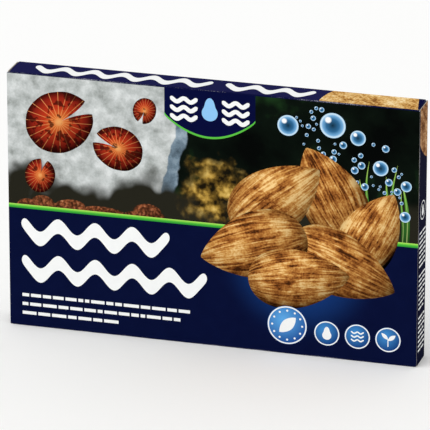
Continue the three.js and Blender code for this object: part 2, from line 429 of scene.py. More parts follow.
@dataclass(frozen=True)
class AlmondPicture(RoundedPicture):
    """Almonds in the picture: golden-brown skins whose dark wrinkles run from tip to tip."""

    shade: float = 0.85
    half_size: Triple = (38.0, 23.0, 9.0)
    lanes: float = 24.0
    lane_stretch: float = 3.2
    lane_spread: float = 1.25
    wrinkle: float = 1.7
    wrinkle_share: float = 1.1
    cloud: float = 12.0
    pit: float = 1.4
    pit_share: float = 0.4
    tone_range: Point = (0.95, 1.55)
    tones: tuple[str, ...] = ("40210d", "7a441c", "a66a30", "c8924d", "e6c182")
    steps: tuple[float, ...] = (0.04, 0.24, 0.46, 0.68, 0.94)

    def body_colour(self, surface: Surface) -> Socket:
        """Adds clouds, wrinkles that draw together at both ends, and fine pits.

        Args:
            surface: the material's tree.

        Returns:
            The colour before shading.
        """
        add = surface.add
        own = add("VectorMath", surface.place, self.half_size, operation="MULTIPLY")
        along = add("SeparateXYZ", surface.place)
        _, across, turn = along.node.outputs
        square = add("Math", along, 2.0, operation="POWER")
        bulge = add("Math", self.lane_spread, square, operation="SUBTRACT")
        root = add("Math", bulge, 0.5, operation="POWER")
        course = add("Math", across, root, operation="DIVIDE")
        lane = add("Math", course, self.lanes, operation="MULTIPLY")
        slow = add("Math", along, self.lane_stretch, operation="MULTIPLY")
        laid = add("CombineXYZ", slow, lane, turn)
        wrinkle = add("TexNoise", laid, Scale=1 / self.wrinkle, Detail=3.0, Distortion=0.5)
        cloud = add("TexNoise", own, Scale=1 / self.cloud, Detail=3.0)
        pits = add("TexNoise", own, Scale=1 / self.pit, Detail=2.0)
        both = add("Math", pits, self.pit_share, cloud, operation="MULTIPLY_ADD")
        total = add("Math", wrinkle, self.wrinkle_share, both, operation="MULTIPLY_ADD")
        tone = add("MapRange", total, *self.tone_range)
        return add("ValToRGB", tone, stops=zip(self.steps, self.tones))


@dataclass(frozen=True)
class PebblePicture(RoundedPicture):
    """Small pebbles on the bank in the picture, with a red-brown mottle."""

    shade: float = 0.3
    mottle: float = 2.0
    tones: tuple[str, ...] = ("26110a", "56301d", "8a4e30", "bd8a66")
    steps: tuple[float, ...] = (0.3, 0.48, 0.62, 0.78)

    def body_colour(self, surface: Surface) -> Socket:
        """Adds the mottle."""
        mottle = surface.add("TexNoise", surface.mm, Scale=1 / self.mottle, Detail=6.0)
        return surface.add("ValToRGB", mottle, stops=zip(self.steps, self.tones))


@dataclass(frozen=True)
class LilyPadPicture(RoundedPicture):
    """Floating lily leaves in the picture: orange-red, with pale veins from the middle and
    maroon spots."""

    shade: float = 0.35
    veins: int = 11
    vein_edge: Point = (0.14, 0.03)
    spot: float = 4.5
    spot_edge: Point = (0.53, 0.6)
    tones: tuple[str, ...] = ("e0b069", "cf6c30", "ab3219", "7a1c12", "3d0d08")
    steps: tuple[float, ...] = (0.0, 0.14, 0.45, 0.8, 0.95)

    def body_colour(self, surface: Surface) -> Socket:
        """Adds the leaf by distance from its middle, its veins by angle, and its spots.

        Args:
            surface: the material's tree.

        Returns:
            The colour before shading.
        """
        add = surface.add
        across = add("SeparateXYZ", surface.place)
        out = add("VectorMath", surface.disc, operation="LENGTH")
        base = add("ValToRGB", out, stops=zip(self.steps, self.tones))
        turn = add("Math", across.node.outputs["Y"], across, operation="ARCTAN2")
        many = add("Math", turn, self.veins, operation="MULTIPLY")
        wave = add("Math", many, operation="SINE")
        near = add("Math", wave, operation="ABSOLUTE")
        spread = add("Math", near, out, operation="MULTIPLY")
        vein = add("MapRange", spread, *self.vein_edge, To_Max=0.75)
        veined = add("Mix", vein, base, "e59a5b", **BLEND)
        spots = add("TexNoise", surface.mm, Scale=1 / self.spot, Detail=2.0)
        spotted = add("MapRange", spots, *self.spot_edge, To_Max=0.8)
        return add("Mix", spotted, veined, "2b0a07", **BLEND)


@dataclass(frozen=True)
class BubblePicture(CoatedPrint):
    """Air bubbles in the picture: dark within, pale blue rims and a bright spot on each."""

    glint: Triple = (-0.36, 0.42, 0.0)
    glint_edge: Point = (0.3, 0.16)
    tones: tuple[str, ...] = ("122c3d", "2f6691", "6fa6d2", "cfe6f5", "8fb6d3")
    steps: tuple[float, ...] = (0.0, 0.5, 0.78, 0.93, 1.0)

    def paint(self, surface: Surface) -> Socket:
        """Adds the bubble by distance from its middle, and its highlight.

        Args:
            surface: the material's tree.

        Returns:
            The colour.
        """
        add = surface.add
        out = add("VectorMath", surface.disc, operation="LENGTH")
        base = add("ValToRGB", out, stops=zip(self.steps, self.tones))
        away = add("VectorMath", surface.disc, self.glint, operation="DISTANCE")
        bright = add("MapRange", away, *self.glint_edge)
        return add("Mix", bright, base, "fbfdfe", **BLEND)


@dataclass(frozen=True)
class BadgePicture(CoatedPrint):
    """A round badge's blue, which pales towards its upper left."""

    pale: str = "3f86c6"
    deep: str = "143a78"
    pale_side: Triple = (-0.2, 0.3, 0.0)
    fade: Point = (0.1, 1.25)

    def paint(self, surface: Surface) -> Socket:
        """Adds the blue by distance from the badge's paler side.

        Args:
            surface: the material's tree.

        Returns:
            The colour.
        """
        away = surface.add("VectorMath", surface.place, self.pale_side, operation="DISTANCE")
        share = surface.add("MapRange", away, *self.fade)
        return surface.add("Mix", share, self.pale, self.deep, **BLEND)


@dataclass(frozen=True)
class WaterPlantPicture(CoatedPrint):
    """Ribbon-leaved water plants in the picture: dark at the foot, pale along the rib."""

    rib_edge: Point = (0.3, 0.05)

    def paint(self, surface: Surface) -> Socket:
        """Adds the leaf by its own place across and along it.

        Args:
            surface: the material's tree.

        Returns:
            The colour.
        """
        add = surface.add
        across = add("SeparateXYZ", surface.place)
        stops = ((0.0, "142c12"), (0.4, "2f6426"), (0.75, "5d9a37"), (1.0, "a9c95c"))
        length = add("ValToRGB", across.node.outputs["Y"], stops=stops)
        near = add("Math", across, operation="ABSOLUTE")
        rib = add("MapRange", near, *self.rib_edge, To_Max=0.5)
        return add("Mix", rib, length, "c8dc86", **BLEND)


@dataclass(frozen=True)
class GreenRule(CoatedPrint):
    """The bright green rule across the walls: yellow-green along its upper edge."""

    tones: tuple[str, ...] = ("2a8a2f", "44b03a", "8fd64e", "b5e26a")
    steps: tuple[float, ...] = (0.0, 0.45, 0.8, 1.0)

    def paint(self, surface: Surface) -> Socket:
        """Adds the rule's colour by its own place, from its lower edge to its upper one."""
        up = surface.add("SeparateXYZ", surface.place).node.outputs["Y"]
        return surface.add("ValToRGB", up, stops=zip(self.steps, self.tones))


@dataclass(frozen=True, kw_only=True)
class NarrowWallPrint(CoatedPrint):
    """Navy ink whose far part is covered by a picture of brown stone behind an arc."""

    arc_centre: Triple
    arc_radius: float
    navy: str
    stone: StoneGrain = StoneGrain()

    def paint(self, surface: Surface) -> Socket:
        """Adds navy, and stone inside the arc.

        Args:
            surface: the material's tree.

        Returns:
            The colour.
        """
        away = surface.add("VectorMath", surface.mm, self.arc_centre, operation="DISTANCE")
        inside = surface.add("Math", away, self.arc_radius, operation="LESS_THAN")
        stone = self.stone.paint(surface)
        return surface.add("Mix", inside, self.navy, stone, **BLEND)


@dataclass(frozen=True)
class ScoredCrease(CoatedPrint):
    """A scored fold in printed board: the coating has cracked along the outside of the bend,
    so a broken line of pale fibres shows in the ink. The same pale line along the ridge is
    also a painted highlight of the rounded fold. The cracks are some 0.1 mm wide and are
    drawn at 0.5 mm so that they show."""

    navy: str = "0c1038"
    # Pale lavender grey of the cracks' fibres, which also serves as the painted highlight on the
    # fold.
    fibre: str = "c9c8d4"
    carton_half: Triple = (145.0, 11.5, 92.5)
    bend_inset: float = 0.6
    ridge_edge: Point = (0.55, 0.72)
    wear_and_sheen: float = 26.0
    crack: float = 0.5
    crack_edge: Point = (1.1, 1.5)

    def paint(self, surface: Surface) -> Socket:
        """Adds the print, and its cracks with a painted highlight along the ridge. How far a point
        is round the bend follows from how far it stands out of the two walls together: the sum is
        greatest halfway round.

        Args:
            surface: the material's tree.

        Returns:
            The colour.
        """
        add, mm = surface.add, surface.mm
        inner = tuple(half - self.bend_inset for half in self.carton_half)
        middle = (0.0, 0.0, self.carton_half[2])
        centred = add("VectorMath", mm, middle, operation="SUBTRACT")
        apart = add("VectorMath", centred, operation="ABSOLUTE")
        out = add("VectorMath", apart, inner, operation="SUBTRACT")
        kept = add("VectorMath", out, (0.0, 0.0, 0.0), operation="MAXIMUM")
        round_bend = add("VectorMath", kept, (1.0, 1.0, 1.0), operation="DOT_PRODUCT")
        # The pale line sits on the ridge halfway round the bend: cracked coating, and a painted
        # highlight of the rounded fold.
        ridge = add("MapRange", round_bend, *self.ridge_edge, To_Max=0.5)
        wear_and_sheen = add("TexNoise", mm, Scale=1 / self.wear_and_sheen, Detail=2.0)
        cracks = add("TexNoise", mm, Scale=1 / self.crack, Detail=4.0)
        rubbed_and_sheen = add("Math", wear_and_sheen, cracks, operation="ADD")
        cracked = add("Math", rubbed_and_sheen, ridge, operation="ADD")
        share = add("MapRange", cracked, *self.crack_edge, To_Max=0.9)
        return add("Mix", share, self.navy, self.fibre, **BLEND)


@dataclass(frozen=True)
class BareBoard(Finish):
    """The unprinted inside of folding board, pressed from recycled pulp: warm grey, quite
    matt, with short fibres that lie along the board's grain. A fibre is some 0.03 mm wide;
    the flecks are clumps of them, drawn at 0.9 mm."""

    roughness: float = 0.85
    specular: float = 0.3
    relief_mm: float = 0.03
    fleck: float = 0.9
    fleck_stretch: Triple = (0.25, 1.0, 1.0)

    def paint(self, surface: Surface) -> Socket:
        """Adds pulp, with its flecks stretched along the grain.

        Args:
            surface: the material's tree.

        Returns:
            The colour.
        """
        stretched = surface.add("Mapping", surface.mm, Scale=self.fleck_stretch)
        fibres = surface.add("TexNoise", stretched, Scale=1 / self.fleck, Detail=6.0)
        stops = ((0.3, "9c9282"), (0.45, "b9b09f"), (0.6, "c9c1b1"), (0.75, "d8d1c3"))
        return surface.add("ValToRGB", fibres, stops=stops)


@dataclass(frozen=True)
class CutEdge(Finish):
    """The die-cut edge of the board, where the knife leaves a fuzz of torn grey fibres."""

    roughness: float = 0.9
    specular: float = 0.2
    relief_mm: float = 0.05
    fuzz: float = 0.4

    def paint(self, surface: Surface) -> Socket:
        """Adds the fuzz of cut fibres."""
        fibres = surface.add("TexNoise", surface.mm, Scale=1 / self.fuzz, Detail=4.0)
        return surface.add("ValToRGB", fibres, stops=((0.3, "8f887b"), (0.7, "c9c3b5")))


@dataclass(frozen=True)
class DriedLeafSkin(Finish):
    """A dried Indian almond leaf: leathery copper brown that curing has blotched, with pale
    raised veins and a net between them. The real net's cells are about 1 mm across and are
    drawn at 3.2 mm so that they show."""

    roughness: float = 0.62
    specular: float = 0.35
    relief_mm: float = 0.35
    vein_spacing: float = 17.0
    vein_lean: float = 0.55
    vein_bend: float = 0.0045
    vein_sway: float = 9.0
    vein_thin: float = 0.009
    vein_edge: Point = (0.95, 0.3)
    rib_edge: Point = (1.75, 0.9)
    sway_length: float = 30.0
    leaf_length: float = 230.0
    net_cell: float = 3.2
    net_edge: Point = (0.09, 0.02)
    net_share: float = 0.3
    cloud: float = 24.0
    leaf_step: float = 0.012
    blotch: float = 6.0
    blotch_edge: Point = (0.6, 0.7)
    wrinkle: float = 5.0

    def vein_lines(self, surface: Surface) -> Socket:
        """Adds the midrib, which thins towards the tip, and the bowed side veins.

        Args:
            surface: the material's tree.

        Returns:
            The lines, from 0 on the blade to 1 on a vein.
        """
        add, mad = surface.add, "MULTIPLY_ADD"
        along = add("SeparateXYZ", surface.place)
        side = add("Math", along.node.outputs["Y"], operation="ABSOLUTE")
        square = add("Math", side, 2.0, operation="POWER")
        lean = add("Math", side, -self.vein_lean, along, operation=mad)
        bent = add("Math", square, -self.vein_bend, lean, operation=mad)
        wander = add("TexNoise", surface.place, Scale=1 / self.sway_length, Detail=1.0)
        swayed = add("Math", wander, self.vein_sway, bent, operation=mad)
        turn = add("Math", swayed, self.vein_spacing / 2, operation="PINGPONG")
        far = add("Math", side, self.vein_thin, turn, operation=mad)
        vein = add("MapRange", far, *self.vein_edge)
        tip = add("MapRange", along, From_Max=self.leaf_length, To_Max=1.0)
        thin = add("Math", tip, 1.0, side, operation=mad)
        rib = add("MapRange", thin, *self.rib_edge)
        return add("Math", vein, rib, operation="MAXIMUM")

    def net_lines(self, surface: Surface) -> Socket:
        """Adds the net between the veins, from 0 to 1 on a line.

        Args:
            surface: the material's tree.

        Returns:
            The lines.
        """
        cell = 1 / self.net_cell
        cells = surface.add("TexVoronoi", surface.place, feature="DISTANCE_TO_EDGE", Scale=cell)
        return surface.add("MapRange", cells, *self.net_edge)

    def paint(self, surface: Surface) -> Socket:
        """Adds blade, blotches, net and veins, a little different on each leaf.

        Args:
            surface: the material's tree.

        Returns:
            The colour.
        """
        add, place = surface.add, surface.place
        number = add("SeparateXYZ", place).node.outputs["Z"]
        cloud = add("TexNoise", place, Scale=1 / self.cloud, Detail=6.0, Roughness=0.6)
        tone = add("Math", number, self.leaf_step, operation="MULTIPLY")
        varied = add("Math", cloud, tone, operation="ADD")
        stops = ((0.3, "40210e"), (0.44, "6d3f1d"), (0.57, "92602f"), (0.72, "b78a50"))
        blade = add("ValToRGB", varied, stops=stops)
        blotch = add("TexNoise", place, Scale=1 / self.blotch, Detail=3.0)
        dark = add("MapRange", blotch, *self.blotch_edge, To_Max=0.6)
        stained = add("Mix", dark, blade, "321a0b", **BLEND)
        net = add("Math", self.net_lines(surface), 0.5, operation="MULTIPLY")
        netted = add("Mix", net, stained, "4a2911", **BLEND)
        veins = add("Math", self.vein_lines(surface), 0.8, operation="MULTIPLY")
        return add("Mix", veins, netted, "be9259", **BLEND)

    def relief(self, surface: Surface) -> Socket:
        """Adds raised veins, the net, and the wrinkles of the blade.

        Args:
            surface: the material's tree.

        Returns:
            The height.
        """
        add = surface.add
        wrinkle = add("TexNoise", surface.place, Scale=1 / self.wrinkle, Detail=4.0)
        net, share = self.net_lines(surface), self.net_share
        rough = add("Math", net, share, wrinkle, operation="MULTIPLY_ADD")
        return add("Math", rough, self.vein_lines(surface), operation="ADD")


@dataclass(frozen=True)
class StudioFloor(Finish):
    """A painted studio floor, matt white."""

    roughness: float = 0.9
    specular: float = 0.0
    mottle: float = 400.0

    def paint(self, surface: Surface) -> Socket:
        """Adds near-white, with a mottle that is barely there."""
        mottle = surface.add("TexNoise", surface.mm, Scale=1 / self.mottle)
        return surface.add("Mix", mottle, "fafaf9", "f8f8f7", **BLEND)


LILY_PADS = LilyPadPicture("offset_print_lily_pads")
PEBBLES = PebblePicture("offset_print_pebbles")
WATER_PLANTS = WaterPlantPicture("offset_print_water_plants")
BUBBLES = BubblePicture("offset_print_bubbles")
ALMONDS = AlmondPicture("offset_print_almonds")
RULE = GreenRule("offset_ink_green_rule")
WHITE_INK = FlatInk("offset_ink_white", colour="f4f5f4", clouded="eceeed")
NAVY_INK = FlatInk("offset_ink_navy", colour="070b33", clouded="090e3a")
BADGE_INK = BadgePicture("offset_ink_badge_blue")
LARGE_BADGE_INK = BadgePicture("offset_ink_badge_pale_blue", pale="5aa2df", deep="1d4c95")
PALE_BLUE_INK = FlatInk("offset_ink_pale_blue", colour="8fc6f2", clouded="86bdea")
GREEN_INK = FlatInk("offset_ink_green", colour="5cc043", clouded="53b53f")
PAPER_INK = FlatInk("offset_ink_off_white", colour="e3e6e4", clouded="dadedc")
RULE_INK = FlatInk("offset_ink_grey_blue", colour="8d98ad", clouded="8590a6")
FRONT_PICTURE = PondPicture("offset_print_pond_picture")
NAVY_GROUND = NavyGround("offset_print_navy_ground")
TOP_PRINT = NarrowWallPrint(
    "offset_print_top_wall", arc_centre=(128.0, -10.0, 184.92), arc_radius=53.0, navy="191a47"
)
# The ends' stone tones and navy are darker than the top wall's: painted shade, for end panels that
# lie in shade.
END_PRINT_RIGHT, END_PRINT_LEFT = (
    NarrowWallPrint(
        f"offset_print_{word}_end",
        arc_centre=(across, 30.0, 192.0),
        arc_radius=51.0,
        navy="080a26",
        stone=StoneGrain(("3f2615", "744a2c", "9d7149", "bb9168", "d8b893")),
    )
    for word, across in (("right", 144.96), ("left", -144.96))
)
BARE = BareBoard("bare_board_inside")
EDGE = CutEdge("die_cut_board_edge")
CREASE = ScoredCrease("scored_crease")
LEAF_SKIN = DriedLeafSkin("dried_leaf_skin")


class Bevel(Enum):
    """What a bevel rounds, as its operator names it."""

    CORNERS = "VERTICES"
    FOLDS = "EDGES"


def of_kind(items: Iterable[object], kind: type) -> list:
    """Picks the points, edges or faces out of what an operator made."""
    return [item for item in items if isinstance(item, kind)]


class Piece:
    """One piece of the object, drawn in millimetres in a bmesh and then set in the frame."""

    def __init__(self, name: str, by_corner: bool = False) -> None:
        """Starts an empty piece.

        Args:
            name: the finished object's name.
            by_corner: whether its own places are kept by face corner, not by point.
        """
        self.name = name
        self.mesh = bmesh.new()
        holder = self.mesh.loops if by_corner else self.mesh.verts
        self.place = holder.layers.float_vector.new(PLACE)

    def line(self, points: Sequence[Triple]) -> Edges:
        """Starts the piece from a few points, joined in their order."""
        verts = [self.mesh.verts.new(point) for point in points]
        return [self.mesh.edges.new(pair) for pair in zip(verts, verts[1:])]

    def extrude(self, edges: Edges, by: Triple) -> Edges:
        """Draws edges out into flat board.

        Args:
            edges: the edges to draw out.
            by: how far they go.

        Returns:
            The edges at the far side.
        """
        made = bmesh.ops.extrude_edge_only(self.mesh, edges=edges)["geom"]
        moved = set(of_kind(made, bmesh.types.BMVert))
        bmesh.ops.translate(self.mesh, vec=by, verts=list(moved))
        return [edge for edge in of_kind(made, bmesh.types.BMEdge) if moved.issuperset(edge.verts)]

    def fold(
        self, edges: Edges, centre: Triple, axis: Triple, degrees: float, steps: int
    ) -> Edges:
        """Spins edges about an axis into the bend of a crease.

        Args:
            edges: the edges at which the bend starts.
            centre: a point on its axis.
            axis: the axis's direction.
            degrees: how far it bends.
            steps: how many faces it has round the bend.

        Returns:
            The edges at which the bend ends.
        """
        ends = {vert for edge in edges for vert in edge.verts}
        last = bmesh.ops.spin(
            self.mesh,
            geom=[*ends, *edges],
            cent=centre,
            axis=axis,
            angle=math.radians(degrees),
            steps=steps,
            use_merge=False,
            use_duplicate=False,
        )["geom_last"]
        return of_kind(last, bmesh.types.BMEdge)

    def round_off(
        self, geom: Sequence[object], radius: float, segments: int, what: Bevel
    ) -> list[bmesh.types.BMFace]:
        """Bevels corners or folds to a radius.

        Args:
            geom: the corners or the folds.
            radius: their radius.
            segments: how many steps each has.
            what: which of the two they are.

        Returns:
            The new faces.
        """
        return bmesh.ops.bevel(
            self.mesh,
            geom=list(geom),
            offset=radius,
            offset_type="OFFSET",
            segments=segments,
            profile=0.5,
            affect=what.value,
            material=-1,
        )["faces"]

    def cut(self, spot: Triple, normal: Triple, clear: bool = False) -> None:
        """Cuts the whole piece with a plane.

        Args:
            spot: a point on the plane.
            normal: the way that the plane looks.
            clear: whether what lies that way is cut off.
        """
        bmesh.ops.bisect_plane(
            self.mesh,
            geom=[*self.mesh.verts, *self.mesh.edges, *self.mesh.faces],
            dist=1e-4,
            plane_co=spot,
            plane_no=normal,
            clear_outer=clear,
        )

    def face_out(self, index: int, outward: Triple) -> None:
        """Turns the whole sheet over if one of its faces looks the wrong way.

        Args:
            index: the face that is looked at.
            outward: the way that it should look.
        """
        self.mesh.faces.ensure_lookup_table()
        self.mesh.normal_update()
        if self.mesh.faces[index].normal.dot(Vector(outward)) < 0:
            bmesh.ops.reverse_faces(self.mesh, faces=self.mesh.faces[:])

    def finish(
        self, finishes: Sequence[Finish], slot: str, smooth: bool = False
    ) -> bpy.types.Object:
        """Scales the piece to metres and makes its object.

        Args:
            finishes: its finishes, in the order of its material numbers.
            slot: the record's material slot; not used.
            smooth: whether its faces are shaded smoothly.

        Returns:
            The object, at the frame's origin.
        """
        bmesh.ops.scale(self.mesh, vec=(MM, MM, MM), verts=self.mesh.verts[:])
        for face in self.mesh.faces:
            face.smooth = smooth
        data = bpy.data.meshes.new(self.name)
        self.mesh.to_mesh(data)
        self.mesh.free()
        for finish in finishes:
            data.materials.append(finish.material())
        made = bpy.data.objects.new(self.name, data)
        bpy.context.scene.collection.objects.link(made)
        return made

    def finish_board(
        self, printed: Sequence[Finish], board: float, smooth: bool = False
    ) -> bpy.types.Object:
        """Makes the object of a piece of board: printed outside, bare inside, cut all round.

        Args:
            printed: the outer finishes, in the order of the material numbers.
            board: the board's thickness.
            smooth: whether its faces are shaded smoothly.

        Returns:
            The object.
        """
        kinds = len(printed)
        made = self.finish([*printed, *[BARE] * kinds, *[EDGE] * kinds], BOARD_SLOT, smooth)
        solid = made.modifiers.new("board", "SOLIDIFY")
        solid.thickness = board * MM
        solid.offset = 0.0
        solid.use_even_offset = True
        solid.material_offset = kinds
        solid.material_offset_rim = 2 * kinds
        return made


class Side(Enum):
    """The carton's two ends, by the sign of X there."""

    LEFT = -1
    RIGHT = 1

    @property
    def word(self) -> str:
        """The side as the frame's names say it."""
        return self.name.lower()


@dataclass(frozen=True)
class CartonSize:
    """The carton's sizes. The board is thinner than in the frame by the room that the films
    of ink take outside it."""

    half_length: float
    half_depth: float
    height: float
    film_room: float = 0.08
    board: float = 0.42
    crease_radius: float = 0.55
    long_edge_gap: float = 1.7
    back_edge_gap: float = 0.8

    @classmethod
    def from_frame(cls) -> "CartonSize":
        """Reads the outside sizes from the frame."""
        _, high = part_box("carton_body")
        return cls(high.x / MM, high.y / MM, high.z / MM)

    @property
    def wall_y(self) -> float:
        """How far the middle of the front and back wall is from the carton's middle."""
        return self.half_depth - self.film_room - self.board / 2

    @property
    def top_z(self) -> float:
        """The height of the top wall's middle."""
        return self.height - self.film_room - self.board / 2

    @property
    def bottom_z(self) -> float:
        """The height of the bottom wall's middle."""
        return self.film_room + self.board / 2


class Wall(Enum):
    """The stretches of the carton body's board, in the order of their materials."""

    FRONT = 0
    TOP = 1
    BACK = 2
    BOTTOM = 3
    CREASE = 4
    TAB = 5


@dataclass
class CartonShell:
    """The glued body: one strip of board that runs from the top wall's rear edge over the
    front, bottom and back walls to the glue tab under the top wall."""

    size: CartonSize
    tab_reach: float = 15.0
    tab_end_gap: float = 3.0
    tab_room: float = 0.02
    seam_inset: float = 0.15
    crease_steps: int = 8

    def section(self) -> list[Point]:
        """Lists the corners of the strip's section, before its creases are round.

        Returns:
            The corners in (Y, Z), from the top wall's rear edge on.
        """
        s, y = self.size, self.size.wall_y
        rear, under = s.half_depth - s.film_room, s.top_z - s.board - self.tab_room
        return [
            (rear - self.seam_inset, s.top_z),
            (-y, s.top_z),
            (-y, s.bottom_z),
            (y, s.bottom_z),
            (y, under),
            (rear - s.board - self.tab_reach, under),
        ]

    def reach(self) -> dict[Wall, float]:
        """Says how far along X each wall reaches.

        Returns:
            The reach by wall.
        """
        s = self.size
        return {
            Wall.FRONT: s.half_length,
            Wall.TOP: s.half_length - s.long_edge_gap,
            Wall.BOTTOM: s.half_length - s.long_edge_gap,
            Wall.BACK: s.half_length - s.back_edge_gap,
            Wall.TAB: s.half_length - self.tab_end_gap,
        }

    def wall_of(self, face: bmesh.types.BMFace) -> Wall:
        """Names the wall that a face lies in, or that its half of a crease goes with.

        Args:
            face: a face of the strip, its normal up to date.

        Returns:
            The wall.
        """
        centre = face.calc_center_median()
        if abs(face.normal.y) > abs(face.normal.z):
            return Wall.FRONT if centre.y < 0 else Wall.BACK
        if centre.z < self.size.height / 2:
            return Wall.BOTTOM
        under_top = self.size.top_z - self.size.board / 2
        return Wall.TAB if centre.z < under_top else Wall.TOP

    def build(self) -> list[bpy.types.Object]:
        """Draws the section out along X, rounds its creases, cuts each wall to its length
        and gives the board its thickness.

        Returns:
            The carton body.
        """
        s, piece = self.size, Piece("carton_shell")
        corners = [(-s.half_length, *corner) for corner in self.section()]
        piece.extrude(piece.line(corners), (2 * s.half_length, 0, 0))
        piece.mesh.normal_update()
        for face in piece.mesh.faces:
            face.material_index = self.wall_of(face).value
        folds = [edge for edge in piece.mesh.edges if len(edge.link_faces) == 2]
        for face in piece.round_off(folds, s.crease_radius, self.crease_steps, Bevel.FOLDS):
            face.material_index = Wall.CREASE.value
        reach = self.reach()
        for station in sorted(set(reach.values()) - {s.half_length}):
            piece.cut((station, 0, 0), (1, 0, 0))
            piece.cut((-station, 0, 0), (-1, 0, 0))
        piece.mesh.normal_update()
        waste = [
            face
            for face in piece.mesh.faces
            if abs(face.calc_center_median().x) > reach[self.wall_of(face)]
        ]
        bmesh.ops.delete(piece.mesh, geom=waste, context="FACES")
        piece.mesh.faces.index_update()
        front = min(piece.mesh.faces, key=lambda face: face.calc_center_median().y).index
        piece.face_out(front, (0, -1, 0))
        printed = [NAVY_INK, NAVY_INK, NAVY_INK, NAVY_INK, CREASE, BARE]
        made = piece.finish_board(printed, s.board)
        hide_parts("carton_body")
        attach(made, CARTON_BODY)
        return [made]


@dataclass
class DustFlap:
    """One of the four flaps that fold in behind the end panels, with its own crease."""

    size: CartonSize
    side: Side
    top: bool
    reach: float = 28.0
    shoulder: float = 9.0
    taper: float = 4.5
    corner: float = 2.5
    steps: int = 6

    @property
    def node(self) -> str:
        """The frame's name for this flap."""
        return f"{self.side.word}_dust_flap_{'top' if self.top else 'bottom'}"

    def build(self) -> list[bpy.types.Object]:
        """Folds the flap down from its wall's end, cuts its front edge to a slant and rounds
        its free corners. It is made as the right upper flap and then mirrored to its place.

        Returns:
            The flap.
        """
        low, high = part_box(self.node)
        front, back = low.y / MM, high.y / MM
        s, sign = self.size, self.side.value
        free_end = low.z / MM if self.top else s.height - high.z / MM
        wall_end, fold_z = s.half_length - s.long_edge_gap, s.top_z - s.crease_radius
        piece = Piece(self.node + "_board")
        start = piece.line([(wall_end, front, s.top_z), (wall_end, back, s.top_z)])
        bent = piece.fold(start, (wall_end, 0, fold_z), (0, 1, 0), 90, self.steps)
        piece.extrude(bent, (0, 0, free_end - fold_z))
        for face in piece.mesh.faces:
            face.material_index = int(face.calc_center_median().z > fold_z)
        slant = self.reach - self.shoulder
        piece.cut((0, front, free_end + slant), (0, -slant, -self.taper), clear=True)
        lowest = min(vert.co.z for vert in piece.mesh.verts)
        corners = [vert for vert in piece.mesh.verts if vert.co.z < lowest + self.corner]
        piece.round_off(corners, self.corner, self.steps, Bevel.CORNERS)
        verts = piece.mesh.verts[:]
        bmesh.ops.scale(piece.mesh, vec=(sign, 1, 1 if self.top else -1), verts=verts)
        if not self.top:
            bmesh.ops.translate(piece.mesh, vec=(0, 0, s.height), verts=verts)
        piece.mesh.faces.index_update()
        flat = max(piece.mesh.faces, key=lambda face: face.calc_area()).index
        piece.face_out(flat, (sign, 0, 0))
        made = piece.finish_board([PAPER_INK, CREASE], s.board)
        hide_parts(self.node)
        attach(made, CARTON_BODY)
        return [made]


